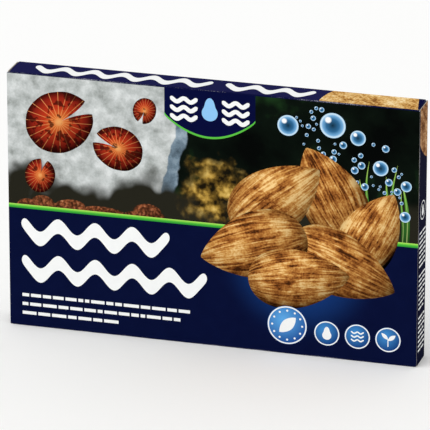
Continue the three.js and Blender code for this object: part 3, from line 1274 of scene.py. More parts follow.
@dataclass
class EndClosure:
    """One end of the carton: the end panel on the back wall's crease, and the tongue that
    tucks in behind the front wall, with the two creases between them. Each stretch
    of board is drawn at the right end and then mirrored to its place."""

    size: CartonSize
    side: Side
    tongue_end: float = 134.5
    tongue_short: float = 2.0
    tongue_corner: float = 7.0
    tongue_corner_steps: int = 14
    panel_short: float = 0.4
    panel_x: float = 144.7
    panel_front: float = -8.9
    print_back: float = 10.66
    tongue_y: float = -9.75
    tongue_start: float = 143.9
    crease_radius: float = 0.5
    crease_steps: int = 8

    def upright(self, piece: Piece, x: float, y: float, gap: float) -> Edges:
        """Starts a stretch of board from an upright edge, a gap short of each end."""
        return piece.line([(x, y, gap), (x, y, self.size.height - gap)])

    def dress(
        self, piece: Piece, printed: Finish, outward: Triple, smooth: bool = False
    ) -> bpy.types.Object:
        """Mirrors a stretch to its end of the carton and gives it its board and finishes.

        Args:
            piece: the stretch, drawn at the right end.
            printed: its outer finish.
            outward: the way that its outer side looks at the right end.
            smooth: whether it is a bend, which is shaded smoothly.

        Returns:
            The stretch of board.
        """
        sign = self.side.value
        bmesh.ops.scale(piece.mesh, vec=(sign, 1, 1), verts=piece.mesh.verts[:])
        piece.face_out(len(piece.mesh.faces) // 2, (outward[0] * sign, *outward[1:]))
        return piece.finish_board([printed], self.size.board, smooth)

    def panel(self) -> bpy.types.Object:
        """Builds the end panel, which is flat and square.

        Returns:
            The panel.
        """
        word = self.side.word
        piece = Piece(f"{word}_end_board")
        start_y = self.size.wall_y - self.crease_radius
        edge = self.upright(piece, self.panel_x, start_y, self.panel_short)
        piece.extrude(edge, (0, self.panel_front - start_y, 0))
        made = self.dress(piece, NAVY_INK, (1, 0, 0))
        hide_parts(f"{word}_end_panel")
        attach(made, f"{word}_end_panel")
        return made

    def tongue(self) -> bpy.types.Object:
        """Builds the tongue, whose free corners are round so that it slides in.

        Returns:
            The tongue.
        """
        word = self.side.word
        piece = Piece(f"{word}_tongue_board")
        edge = self.upright(piece, self.tongue_start, self.tongue_y, self.tongue_short)
        (free,) = piece.extrude(edge, (self.tongue_end - self.tongue_start, 0, 0))
        piece.round_off(free.verts, self.tongue_corner, self.tongue_corner_steps, Bevel.CORNERS)
        made = self.dress(piece, PAPER_INK, (0, -1, 0))
        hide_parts(f"{word}_tuck_tongue")
        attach(made, f"{word}_tuck_tongue")
        return made

    def back_crease(self) -> bpy.types.Object:
        """Builds the crease between the back wall and the panel.

        Returns:
            The crease.
        """
        word, r = self.side.word, self.crease_radius
        piece = Piece(f"{word}_back_crease")
        x, y = self.size.half_length - self.size.back_edge_gap, self.size.wall_y
        edge = self.upright(piece, x, y, self.panel_short)
        piece.fold(edge, (x, y - r, 0), (0, 0, 1), -90, self.crease_steps)
        made = self.dress(piece, CREASE, (1, 1, 0), smooth=True)
        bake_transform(made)
        return made

    def tongue_crease(self) -> bpy.types.Object:
        """Builds the crease between the panel and the tongue, which narrows to the tongue's
        height round its bend.

        Returns:
            The crease.
        """
        word, r = self.side.word, self.crease_radius
        piece = Piece(f"{word}_tongue_crease")
        x, y = self.panel_x - r, self.tongue_y + r
        edge = self.upright(piece, self.panel_x, self.panel_front, self.panel_short)
        bend = piece.extrude(edge, (0, y - self.panel_front, 0))
        after = piece.fold(bend, (x, y, 0), (0, 0, 1), -90, self.crease_steps)
        piece.extrude(after, (self.tongue_start - x, 0, 0))
        for vert in piece.mesh.verts:
            round_bend = math.atan2(y - vert.co.y, vert.co.x - x) / (math.pi / 2)
            share = min(1.0, max(0.0, round_bend))
            gap = self.panel_short + (self.tongue_short - self.panel_short) * share
            vert.co.z = gap if vert.co.z < self.size.height / 2 else self.size.height - gap
        made = self.dress(piece, CREASE, (1, -1, 0), smooth=True)
        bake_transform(made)
        return made

    def build(self) -> list[bpy.types.Object]:
        """Builds the panel, the tongue and both creases."""
        return [self.panel(), self.tongue(), self.back_crease(), self.tongue_crease()]


class PrintedWall(Enum):
    """The walls that carry print, by what their prints are called."""

    FRONT = "front"
    TOP = "top"
    BACK = "back"
    BOTTOM = "bottom"
    RIGHT_END = "right_end"
    LEFT_END = "left_end"


@dataclass(frozen=True)
class PrintPlane:
    """The outside of one wall, where flat shapes drawn in (a, b) are printed."""

    name: str
    body: str
    origin: Triple
    right: Triple
    up: Triple
    low: Point
    high: Point

    def matrix(self) -> Matrix:
        """Works out how a flat drawing comes to lie on the wall.

        Returns:
            The turn and the shift.
        """
        right, up = Vector(self.right), Vector(self.up)
        matrix = Matrix((right, up, right.cross(up))).transposed().to_4x4()
        matrix.translation = self.origin
        return matrix


def print_planes(size: CartonSize) -> dict[PrintedWall, PrintPlane]:
    """Lists the walls that carry print, each with its own right and up.

    Args:
        size: the carton's sizes.

    Returns:
        The walls' planes.
    """
    x, y = size.half_length, size.half_depth - size.film_room
    back_x, short_x = x - size.back_edge_gap, x - size.long_edge_gap
    top, bend = size.height - size.film_room, size.crease_radius + size.board / 2
    low, high, front = size.film_room + bend, top - bend, -y + bend
    end_x, end_front = EndClosure.panel_x + size.board / 2, EndClosure.panel_front
    end_low, end_back = EndClosure.panel_short, EndClosure.print_back
    end_high = size.height - end_low
    walls = {
        PrintedWall.FRONT: (
            CARTON_BODY, (0, -y, 0), (1, 0, 0), (0, 0, 1), (-x, low), (x, high),
        ),
        PrintedWall.TOP: (
            CARTON_BODY, (0, 0, top), (1, 0, 0), (0, 1, 0),
            (-short_x, front), (short_x, y - CartonShell.seam_inset),
        ),
        PrintedWall.BACK: (
            CARTON_BODY, (0, y, 0), (-1, 0, 0), (0, 0, 1),
            (-back_x, low), (back_x, high - size.board),
        ),
        PrintedWall.BOTTOM: (
            CARTON_BODY, (0, 0, size.film_room), (1, 0, 0), (0, -1, 0),
            (-short_x, front), (short_x, y - bend),
        ),
        PrintedWall.RIGHT_END: (
            "right_end_panel", (end_x, 0, 0), (0, 1, 0), (0, 0, 1),
            (end_front, end_low), (end_back, end_high),
        ),
        PrintedWall.LEFT_END: (
            "left_end_panel", (-end_x, 0, 0), (0, -1, 0), (0, 0, 1),
            (-end_back, end_low), (-end_front, end_high),
        ),
    }
    return {wall: PrintPlane(wall.value, *plane) for wall, plane in walls.items()}


@dataclass(frozen=True)
class InkPatch:
    """One flat patch of ink, with a function that gives a point's own place in it."""

    finish: Finish
    corners: tuple[Vector, ...]
    place: Callable[[Vector], Vector]


class PrintSheet:
    """The print of one wall, a sheet just over the board. Its shapes are laid down in
    order, and where they overlap the last one shows, so that all ink lies in one plane."""

    LIFT = 0.07
    SINK = 0.03
    WELD = 0.0005
    TANGENT_STEP = 0.001
    THINNEST = 0.02
    WAVE_STEPS = 44
    DASH_LENGTHS = (3.0, 11.0)
    DASH_GAP = 1.3
    LEAST_DASH = 2.0

    def __init__(self, plane: PrintPlane, ground: Finish) -> None:
        """Starts the sheet with its ground.

        Args:
            plane: the wall that it covers.
            ground: the finish under every shape.
        """
        self.plane = plane
        self.patches: list[InkPatch] = []
        self.bar(ground, plane.low, plane.high)

    def ribbon(
        self,
        finish: Finish,
        path: Callable[[float], Point],
        half_width: Callable[[float], float],
        steps: int,
        upright: bool = False,
    ) -> None:
        """Prints a band along a path; its own place is (across, along, 0).

        Args:
            finish: its ink.
            path: where its middle is, from 0 at its start to 1 at its end.
            half_width: half its width, from 0 to 1 along it.
            steps: how many steps it has.
            upright: whether its width is measured straight up instead of across the path.
        """
        middles, normals, halves = [], [], []
        for t in (step / steps for step in range(steps + 1)):
            before, after = max(0, t - self.TANGENT_STEP), min(1, t + self.TANGENT_STEP)
            ahead = Vector(path(after)) - Vector(path(before))
            across = Vector((-ahead.y, ahead.x)).normalized()
            middles.append(Vector(path(t)))
            normals.append(Vector((0, 1)) if upright else across)
            halves.append(half_width(t))

        def patch(step: int) -> InkPatch:
            """Makes one step of the band.

            Args:
                step: its number, from 0.

            Returns:
                The step.
            """
            m0, m1, n0, n1 = *middles[step : step + 2], *normals[step : step + 2]
            h0, h1 = halves[step : step + 2]
            axis = m1 - m0

            def place(point: Vector) -> Vector:
                """Works out a point's own place in the band.

                Args:
                    point: where it is on the wall.

                Returns:
                    Its place across, from -1 to 1, and along, from 0 to 1.
                """
                share = min(1.0, max(0.0, (point - m0).dot(axis) / max(axis.length_squared, 1e-9)))
                side = (point - m0 - axis * share).dot(n0) / max(0.01, h0 + (h1 - h0) * share)
                return Vector((side, (step + share) / steps, 0))

            corners = (m0 - n0 * h0, m1 - n1 * h1, m1 + n1 * h1, m0 + n0 * h0)
            return InkPatch(finish, corners, place)

        self.patches += [patch(step) for step in range(steps)]

    def blob(
        self,
        finish: Finish,
        centre: Point,
        radii: Point,
        turn: float = 0.0,
        outline: Callable[[float], Point] | None = None,
        segments: int = 48,
    ) -> None:
        """Prints a round shape; its own place is in its unit disc, with its turn.

        Args:
            finish: its ink.
            centre: its middle.
            radii: half its width and half its height before it is turned.
            turn: how far it is turned, in degrees.
            outline: a point of its unit shape, by the angle in radians.
            segments: how many sides it has.
        """
        spin, middle = Matrix.Rotation(math.radians(turn), 2), Vector(centre)
        corners = []
        for number in range(segments):
            angle = 2 * math.pi * number / segments - math.pi
            x, y = outline(angle) if outline else (math.cos(angle), math.sin(angle))
            corners.append(middle + spin @ Vector((x * radii[0], y * radii[1])))

        def place(point: Vector) -> Vector:
            """The point in the shape's unit disc, with its turn in radians."""
            own = spin.transposed() @ (point - middle)
            return Vector((own.x / radii[0], own.y / radii[1], math.radians(turn)))

        self.patches.append(InkPatch(finish, tuple(corners), place))

    def bar(self, finish: Finish, low: Point, high: Point) -> None:
        """Prints an upright rectangle; its own place is (a, 0 at its foot to 1, 0).

        Args:
            finish: its ink.
            low: its lower left corner.
            high: its upper right corner.
        """
        (left, foot), (right, head) = low, high
        corners = ((left, foot), (right, foot), (right, head), (left, head))

        def place(point: Vector) -> Vector:
            """The point's a, and how far up the rectangle it is."""
            return Vector((point.x, (point.y - foot) / (head - foot), 0))

        self.patches.append(InkPatch(finish, tuple(map(Vector, corners)), place))

    def ring(self, centre: Point, radius: float, width: float) -> None:
        """Prints a round white line.

        Args:
            centre: its middle.
            radius: the radius of the line's middle.
            width: how thick the line is.
        """
        turn, (a, b) = 2 * math.pi, centre
        self.ribbon(
            WHITE_INK,
            lambda t: (a + radius * math.cos(turn * t), b + radius * math.sin(turn * t)),
            lambda _: width / 2,
            steps=56,
        )

    def lens(self, start: Point, end: Point, width: float) -> None:
        """Prints a white leaf shape, pointed at both ends.

        Args:
            start: its first point.
            end: its other point.
            width: how wide it is in the middle.
        """
        self.ribbon(
            WHITE_INK,
            lambda t: (start[0] + (end[0] - start[0]) * t, start[1] + (end[1] - start[1]) * t),
            lambda t: max(self.THINNEST, width / 2 * math.sin(math.pi * t) ** 0.8),
            steps=16,
        )

    def drop(self, finish: Finish, centre: Point, radius: float) -> None:
        """Prints a drop, pointed at the top.

        Args:
            finish: its ink.
            centre: the middle of its round part.
            radius: the radius of its round part.
        """

        def outline(angle: float) -> Point:
            """A circle drawn out to a point."""
            grow = 1 + 0.95 * max(0.0, math.sin(angle)) ** 9
            return math.cos(angle) * grow, math.sin(angle) * grow

        self.blob(finish, centre, (radius, radius), outline=outline)

    def waves(
        self,
        start: Point,
        length: float,
        crest: float,
        stroke: float,
        wave_length: float,
        upright: bool = False,
    ) -> None:
        """Prints one bold white wave line with round ends, which starts at a crest.

        Args:
            start: its left end, halfway up.
            length: how long it is.
            crest: how far a crest rises over its middle.
            stroke: how thick it is.
            wave_length: how long each wave is.
            upright: whether the stroke is measured straight up, which thins its slopes.
        """
        turns = 2 * math.pi / wave_length

        def along(t: float) -> float:
            """A share of the length whose steps are ten times finer at both ends."""
            return t - 0.9 * math.sin(2 * math.pi * t) / (2 * math.pi)

        def middle(t: float) -> Point:
            """The middle of the stroke."""
            far = length * along(t)
            return start[0] + far, start[1] + crest * math.cos(turns * far)

        def half(t: float) -> float:
            """Half the stroke, rounded at both ends."""
            left = min(1.0, length * min(along(t), 1 - along(t)) / (stroke / 2))
            return max(self.THINNEST, stroke / 2 * math.sqrt(max(0.0, 1 - (1 - left) ** 2)))

        steps = round(length / wave_length * self.WAVE_STEPS)
        self.ribbon(WHITE_INK, middle, half, steps, upright)

    def dash_row(
        self, start: float, end: float, height: float, stroke: float, draw: random.Random
    ) -> None:
        """Prints a row of white dashes, such as stand for the lines of a blank table.

        Args:
            start: where the row starts.
            end: where it ends.
            height: how high its middle is.
            stroke: how thick the dashes are.
            draw: the seeded draws for their lengths.
        """
        at = start
        while at < end - self.LEAST_DASH:
            reach = min(end, at + draw.uniform(*self.DASH_LENGTHS))
            self.bar(WHITE_INK, (at, height - stroke / 2), (reach, height + stroke / 2))
            at = reach + self.DASH_GAP

    def build(self) -> bpy.types.Object:
        """Cuts the sheet into the patches that show. No operator overlays flat shapes, so
        the cut is Blender's own constrained triangulation, which also says which patches
        cover each of its faces.

        Returns:
            The sheet, closed by a plain back inside the board.
        """
        points, loops = [], []
        for patch in self.patches:
            loops.append(list(range(len(points), len(points) + len(patch.corners))))
            points.extend(patch.corners)
        spots, _, faces, _, _, covers = delaunay_2d_cdt(points, [], loops, 1, self.WELD)
        finishes = list(dict.fromkeys(patch.finish for patch in self.patches))
        piece = Piece(self.plane.name + "_print", by_corner=True)
        mesh = piece.mesh
        verts = [mesh.verts.new((spot.x, spot.y, self.LIFT)) for spot in spots]
        for corners, cover in zip(faces, covers):
            # Patch 0 is the ground: what it doesn't cover lies off the sheet.
            if 0 in cover:
                patch = self.patches[max(cover)]
                face = mesh.faces.new([verts[index] for index in corners])
                face.material_index = finishes.index(patch.finish)
                for loop in face.loops:
                    loop[piece.place] = patch.place(loop.vert.co.xy)
        loose = [vert for vert in mesh.verts if not vert.link_faces]
        bmesh.ops.delete(mesh, geom=loose, context="VERTS")
        rim = [edge for edge in mesh.edges if edge.is_boundary]
        piece.extrude(rim, (0, 0, -self.LIFT - self.SINK))
        back = [edge for edge in mesh.edges if edge.is_boundary]
        bmesh.ops.contextual_create(mesh, geom=back)
        bmesh.ops.recalc_face_normals(mesh, faces=mesh.faces[:])
        bmesh.ops.transform(mesh, matrix=self.plane.matrix(), verts=mesh.verts[:])
        made = piece.finish(finishes, BOARD_SLOT)
        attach(made, self.plane.body)
        return made


@dataclass
class FrontPrint:
    """The front wall's print: a pond picture over a green rule and a navy ground. Each lily
    pad is held as its middle, its radius and its turn, and each almond as its middle, half
    its length and width, and its turn. A pair of a size is the least and the most of it."""

    plane: PrintPlane
    picture_seed: int = 7
    dash_seed: int = 3
    rule_height: float = 88.2
    rule_width: float = 3.0
    left_margin: float = -136.0
    pads: tuple[tuple[float, ...], ...] = (
        (-108.0, 152.0, 25.0, 30.0),
        (-66.0, 137.0, 18.0, 160.0),
        (-122.0, 112.0, 12.5, 75.0),
        (-47.0, 166.0, 9.5, 250.0),
    )
    pad_tilt: float = 0.86
    pad_notch: float = 0.22
    pebble_count: int = 13
    pebble_span: Point = (-141.0, 24.0)
    pebble_limit: float = -144.9
    pebble_length: Point = (6.0, 15.0)
    pebble_height: Point = (3.2, 7.0)
    pebble_rise: Point = (-0.5, 0.75)
    pebble_turn: Point = (-9.0, 9.0)
    plant_count: int = 15
    plant_start: float = 74.0
    plant_pitch: float = 4.7
    plant_limit: float = 137.0
    plant_root: float = 4.0
    plant_length: Point = (24.0, 62.0)
    plant_sway: Point = (1.5, 4.5)
    plant_lean: Point = (-7.0, 3.0)
    plant_width: Point = (1.2, 2.3)
    bubble_count: int = 52
    bubble_start: Point = (66.0, 178.0)
    bubble_reach: float = 62.0
    bubble_scatter: Point = (9.0, 8.0)
    bubble_across: Point = (40.0, 140.0)
    bubble_up: Point = (104.0, 181.0)
    bubble_gap: float = 0.4
    bubble_radii: tuple[float, ...] = (0.9, 1.3, 1.8, 2.6, 3.8, 5.4, 7.4, 9.0)
    almond_heap: tuple[tuple[float, ...], ...] = (
        (84.0, 118.0, 37.0, 22.0, 118.0),
        (112.0, 93.0, 34.0, 20.0, 62.0),
        (46.0, 112.0, 38.0, 23.0, 38.0),
        (92.0, 68.0, 40.0, 23.0, -22.0),
        (30.0, 76.0, 39.0, 24.0, 197.0),
        (62.0, 56.0, 36.0, 21.0, 8.0),
    )
    wave_heights: tuple[Point, ...] = ((70.5, 106.4), (43.5, 133.0))
    dash_heights: tuple[Point, ...] = ((23.0, -14.0), (16.4, -22.0), (9.8, -66.0))
    dash_stroke: float = 2.3
    tab_middle: float = -1.0
    tab_half: float = 32.0
    tab_drop: float = 33.0
    tab_steps: int = 48
    leaf_badge: Point = (54.0, 21.0)
    leaf_badge_radius: float = 14.0
    leaf_badge_dots: int = 12
    small_badges: tuple[Point, ...] = ((82.0, 18.0), (103.5, 18.0), (125.0, 18.0))
    small_badge_radius: float = 9.0

    def __post_init__(self) -> None:
        """Starts the sheet, and the draws that its picture shares."""
        self.sheet = PrintSheet(self.plane, FRONT_PICTURE)
        self.draw = random.Random(self.picture_seed)

    def build(self) -> list[bpy.types.Object]:
        """Prints from the backdrop to the uppermost marks.

        Returns:
            The print.
        """
        picture = (self.lily_pads, self.pebbles, self.water_plants, self.bubbles)
        for part in (*picture, self.ground, self.almonds, self.wave_lines, self.tab, self.badges):
            part()
        return [self.sheet.build()]

    def lily_pads(self) -> None:
        """Prints the lily pads, seen a little from the side."""
        for a, b, radius, turn in self.pads:
            phase = self.draw.uniform(0, 6)

            def outline(angle: float) -> Point:
                """Draws a round leaf with a notch and a slightly waved rim.

                Args:
                    angle: the direction from its middle.

                Returns:
                    The rim's point there.
                """
                rim = 1 + 0.012 * math.sin(3 * angle + phase) + 0.005 * math.sin(9 * angle)
                grow = rim * (1 - 0.9 * max(0.0, 1 - abs(angle) / self.pad_notch))
                return math.cos(angle) * grow, math.sin(angle) * grow

            self.sheet.blob(LILY_PADS, (a, b), (radius, radius * self.pad_tilt), turn, outline, 160)

    def pebbles(self) -> None:
        """Prints pebbles along the rule, none of them over the wall's end."""
        draw = self.draw
        for _ in range(self.pebble_count):
            a = draw.uniform(*self.pebble_span)
            radii = (draw.uniform(*self.pebble_length), draw.uniform(*self.pebble_height))
            b = self.rule_height + draw.uniform(*self.pebble_rise) * radii[1]
            spot = (max(a, self.pebble_limit + radii[0] * 1.1), b)
            self.sheet.blob(PEBBLES, spot, radii, draw.uniform(*self.pebble_turn))

    def water_plants(self) -> None:
        """Prints swaying blades that grow from below the rule."""
        draw, root = self.draw, self.plant_root
        for number in range(self.plant_count):
            a = self.plant_start + number * self.plant_pitch + draw.uniform(-1.5, 1.5)
            tall = draw.uniform(*self.plant_length)
            sway, lean = draw.uniform(*self.plant_sway), draw.uniform(*self.plant_lean)
            phase, wide = draw.uniform(0, 6), draw.uniform(*self.plant_width)
            a = min(a, self.plant_limit)
            self.sheet.ribbon(
                WATER_PLANTS,
                lambda t: (
                    a + lean * t * t + sway * math.sin(phase + 4.2 * t) * t,
                    self.rule_height - root + (tall + root) * t,
                ),
                lambda t: wide * max(0.04, 1 - t**2.2),
                steps=26,
            )

    def bubbles(self) -> None:
        """Prints bubbles about a slanting line through the water, clear of one another."""
        draw, reach, gap = self.draw, self.bubble_reach, self.bubble_gap
        (left, right), (low, high) = self.bubble_across, self.bubble_up
        placed: list[Triple] = []
        while len(placed) < self.bubble_count:
            share = draw.random()
            a = self.bubble_start[0] + reach * share + draw.gauss(0, self.bubble_scatter[0])
            b = self.bubble_start[1] - reach * share + draw.gauss(0, self.bubble_scatter[1])
            radius = draw.choice(self.bubble_radii)
            inside = left < a < right and low < b < high - radius
            if inside and all(math.hypot(a - x, b - y) > radius + r + gap for x, y, r in placed):
                placed.append((a, b, radius))
                self.sheet.blob(BUBBLES, (a, b), (radius, radius), segments=32)

    def ground(self) -> None:
        """Prints the navy lower part and the green rule over its upper edge."""
        (left, low), (right, _) = self.plane.low, self.plane.high
        height, half = self.rule_height, self.rule_width / 2
        self.sheet.bar(NAVY_GROUND, (left, low), (right, height))
        self.sheet.bar(RULE, (left, height - half), (right, height + half))

    def almonds(self) -> None:
        """Prints a heap of almonds that lies over the rule."""

        def outline(angle: float) -> Point:
            """An oval that runs to a point at its right end."""
            x = math.cos(angle)
            return x, math.sin(angle) * 1.24 * ((1 - x) / 2 + 0.004) ** 0.32

        for a, b, long, wide, turn in self.almond_heap:
            self.sheet.blob(ALMONDS, (a, b), (long, wide), turn, outline, 120)

    def wave_lines(self) -> None:
        """Prints the bold white waves and the rows of dashes under them."""
        for height, length in self.wave_heights:
            self.sheet.waves(
                (self.left_margin, height), length,
                crest=5.2, stroke=10.6, wave_length=26.6, upright=True,
            )
        draw = random.Random(self.dash_seed)
        for height, end in self.dash_heights:
            self.sheet.dash_row(self.left_margin, end, height, self.dash_stroke, draw)

    def tab(self) -> None:
        """Prints the navy tab that hangs from the top edge, with a drop and water lines."""
        middle, half, top = self.tab_middle, self.tab_half, self.plane.high[1]
        sheet, bowl = self.sheet, {"steps": self.tab_steps, "upright": True}

        def across(t: float) -> float:
            """A place along the tab."""
            return middle - half + 2 * half * t

        def lower(t: float) -> float:
            """The tab's lower edge: a shallow bowl."""
            return top - self.tab_drop * (0.56 + 0.44 * math.sin(math.pi * t) ** 0.8)

        def deep(t: float) -> float:
            """Half the tab's depth."""
            return (top - lower(t)) / 2

        sheet.ribbon(NAVY_INK, lambda t: (across(t), (top + lower(t)) / 2), deep, **bowl)
        sheet.ribbon(GREEN_INK, lambda t: (across(t), lower(t)), lambda _: 0.75, **bowl)
        sheet.drop(PALE_BLUE_INK, (middle, top - 15.5), 5.6)
        for start in (middle - 28.0, middle + 8.5):
            for rise in (-6.2, 0.0, 6.2):
                spot = (start, top - 14.0 + rise)
                sheet.waves(spot, 19.5, crest=1.25, stroke=3.0, wave_length=9.75)

    def badges(self) -> None:
        """Prints a large badge with a leaf in a ring of dots, and a drop, water and a
        sprout in small ones."""
        (a, b), radius, dots = self.leaf_badge, self.leaf_badge_radius, self.leaf_badge_dots
        sheet, small = self.sheet, self.small_badge_radius
        sheet.blob(LARGE_BADGE_INK, (a, b), (radius, radius), segments=72)
        sheet.ring((a, b), radius - 0.7, 0.9)
        for number in range(dots):
            angle = math.radians(360 / dots * number)
            dot = (a + 10.6 * math.cos(angle), b + 10.6 * math.sin(angle))
            sheet.blob(WHITE_INK, dot, (0.75, 0.75), segments=16)
        sheet.lens((a - 5.5, b - 5.5), (a + 6.0, b + 6.0), 8.0)
        marks = (self.drop_mark, self.water_mark, self.sprout_mark)
        for mark, spot in zip(marks, self.small_badges):
            sheet.blob(BADGE_INK, spot, (small, small), segments=60)
            sheet.ring(spot, small - 0.6, 0.8)
            mark(*spot)

    def drop_mark(self, a: float, b: float) -> None:
        """Prints a drop in a badge."""
        self.sheet.drop(WHITE_INK, (a, b - 1.4), 3.2)

    def water_mark(self, a: float, b: float) -> None:
        """Prints three water lines in a badge."""
        for height in (b - 2.8, b, b + 2.8):
            self.sheet.waves((a - 4.6, height), 9.2, crest=0.55, stroke=1.0, wave_length=4.6)

    def sprout_mark(self, a: float, b: float) -> None:
        """Prints a sprout of two leaves in a badge.

        Args:
            a: the badge's middle.
            b: the badge's middle.
        """
        self.sheet.bar(WHITE_INK, (a - 0.35, b - 5.0), (a + 0.35, b + 0.6))
        self.sheet.lens((a, b - 0.6), (a + 5.2, b + 3.6), 2.9)
        self.sheet.lens((a, b + 0.2), (a - 4.6, b + 4.6), 2.6)


@dataclass
class NarrowPrint:
    """The print on the narrow walls and on the back. Rows stand in blocks, whose last row
    is left bare."""

    planes: dict[PrintedWall, PrintPlane]
    top_waves: tuple[Point, ...] = ((-129.0, 126.0), (6.0, 63.0))
    top_corner: float = 4.6
    end_seed: int = 11
    end_rows: int = 26
    end_block: int = 9
    end_margin: float = 1.4
    end_foot: float = 10.0
    end_pitch: float = 3.4
    end_stroke: float = 1.25
    end_mark: float = 110.0
    back_seed: int = 5
    back_margin: float = 8.2
    back_panel: Point = (9.0, 150.0)
    back_rule: float = 2.6
    back_columns: int = 3
    back_gap: float = 8.0
    back_lines: int = 18
    back_block: int = 6
    back_first: float = 138.0
    back_pitch: float = 6.2
    back_badges: int = 3
    label_half: Point = (40.0, 6.5)

    def build(self) -> list[bpy.types.Object]:
        """Prints the top, both ends, the back and the bottom.

        Returns:
            The prints.
        """
        ends = [
            self.end(PrintedWall.RIGHT_END, END_PRINT_RIGHT),
            self.end(PrintedWall.LEFT_END, END_PRINT_LEFT),
        ]
        return [self.top(), *ends, self.back(), self.bottom()]

    def top(self) -> bpy.types.Object:
        """Prints the row of white waves and the navy corner on the top wall.

        Returns:
            The print.
        """
        plane = self.planes[PrintedWall.TOP]
        sheet = PrintSheet(plane, TOP_PRINT)
        for start, length in self.top_waves:
            sheet.waves(
                (start, 0.0), length, crest=3.9, stroke=8.4, wave_length=21.0, upright=True
            )
        (_, front), (end, back) = plane.low, plane.high
        middle, half = (front + back) / 2, (back - front) / 2
        sheet.ribbon(
            NAVY_INK,
            lambda t: (end - self.top_corner * (1 - t), back - (back - middle) * t),
            lambda t: max(PrintSheet.THINNEST, half * t),
            steps=8,
            upright=True,
        )
        return sheet.build()

    def end(self, wall: PrintedWall, ground: Finish) -> bpy.types.Object:
        """Prints blocks of white dashes and a ringed drop on an end panel.

        Args:
            wall: which end it is.
            ground: the finish under the dashes.

        Returns:
            The print.
        """
        plane, draw = self.planes[wall], random.Random(self.end_seed)
        sheet = PrintSheet(plane, ground)
        low, high = plane.low[0] + self.end_margin, plane.high[0] - self.end_margin
        for number in range(self.end_rows):
            if number % self.end_block != self.end_block - 1:
                height = self.end_foot + number * self.end_pitch
                sheet.dash_row(low, high, height, self.end_stroke, draw)
        a, b = (low + high) / 2, self.end_mark
        sheet.ring((a, b), 6.4, 0.7)
        sheet.drop(WHITE_INK, (a, b - 1.2), 2.6)
        return sheet.build()

    def back(self) -> bpy.types.Object:
        """Prints an off-white panel with blank ruled lines inside the navy border, and over
        it a green rule, a wave line and badges.

        Returns:
            The print.
        """
        plane, draw = self.planes[PrintedWall.BACK], random.Random(self.back_seed)
        half, margin, gap, block = plane.high[0], self.back_margin, self.back_gap, self.back_block
        foot, head = self.back_panel
        sheet = PrintSheet(plane, NAVY_INK)
        sheet.bar(PAPER_INK, (-half + margin, foot), (half - margin, head))
        sheet.bar(RULE, (-half, head), (half, head + self.back_rule))
        sheet.waves((-half + 11.2, 168.0), 150.0, crest=3.6, stroke=5.2, wave_length=20.0)
        column = (2 * half - 2 * margin - (self.back_columns + 1) * gap) / self.back_columns
        for place in range(self.back_columns):
            start = -half + margin + gap + place * (column + gap)
            for number in range(self.back_lines):
                if number % block == block - 1:
                    continue
                last = number % block == block - 2
                end = start + column * (draw.uniform(0.45, 0.9) if last else 1.0)
                height = self.back_first - number * self.back_pitch
                sheet.bar(RULE_INK, (start, height - 0.3), (end, height + 0.3))
        for number in range(self.back_badges):
            a, b = half - 24.0 - 24.0 * number, 20.5
            sheet.blob(BADGE_INK, (a, b), (8.6, 8.6), segments=56)
            sheet.ring((a, b), 7.9, 0.7)
            sheet.lens((a - 4.6, b - 3.4), (a + 4.6, b + 3.8), 4.6)
        return sheet.build()

    def bottom(self) -> bpy.types.Object:
        """Prints a blank label panel on the bottom wall.

        Returns:
            The print.
        """
        sheet, (a, b) = PrintSheet(self.planes[PrintedWall.BOTTOM], NAVY_INK), self.label_half
        sheet.bar(PAPER_INK, (-a, -b), (a, b))
        return sheet.build()


@dataclass
class LeafPlan:
    """One leaf's own sizes, in millimetres and radians."""

    length: float
    half_width: float
    widest: float
    stalk: float
    bend: float
    tilt: float
    shift: float
    ripple: float
    phase: float
    depth: float


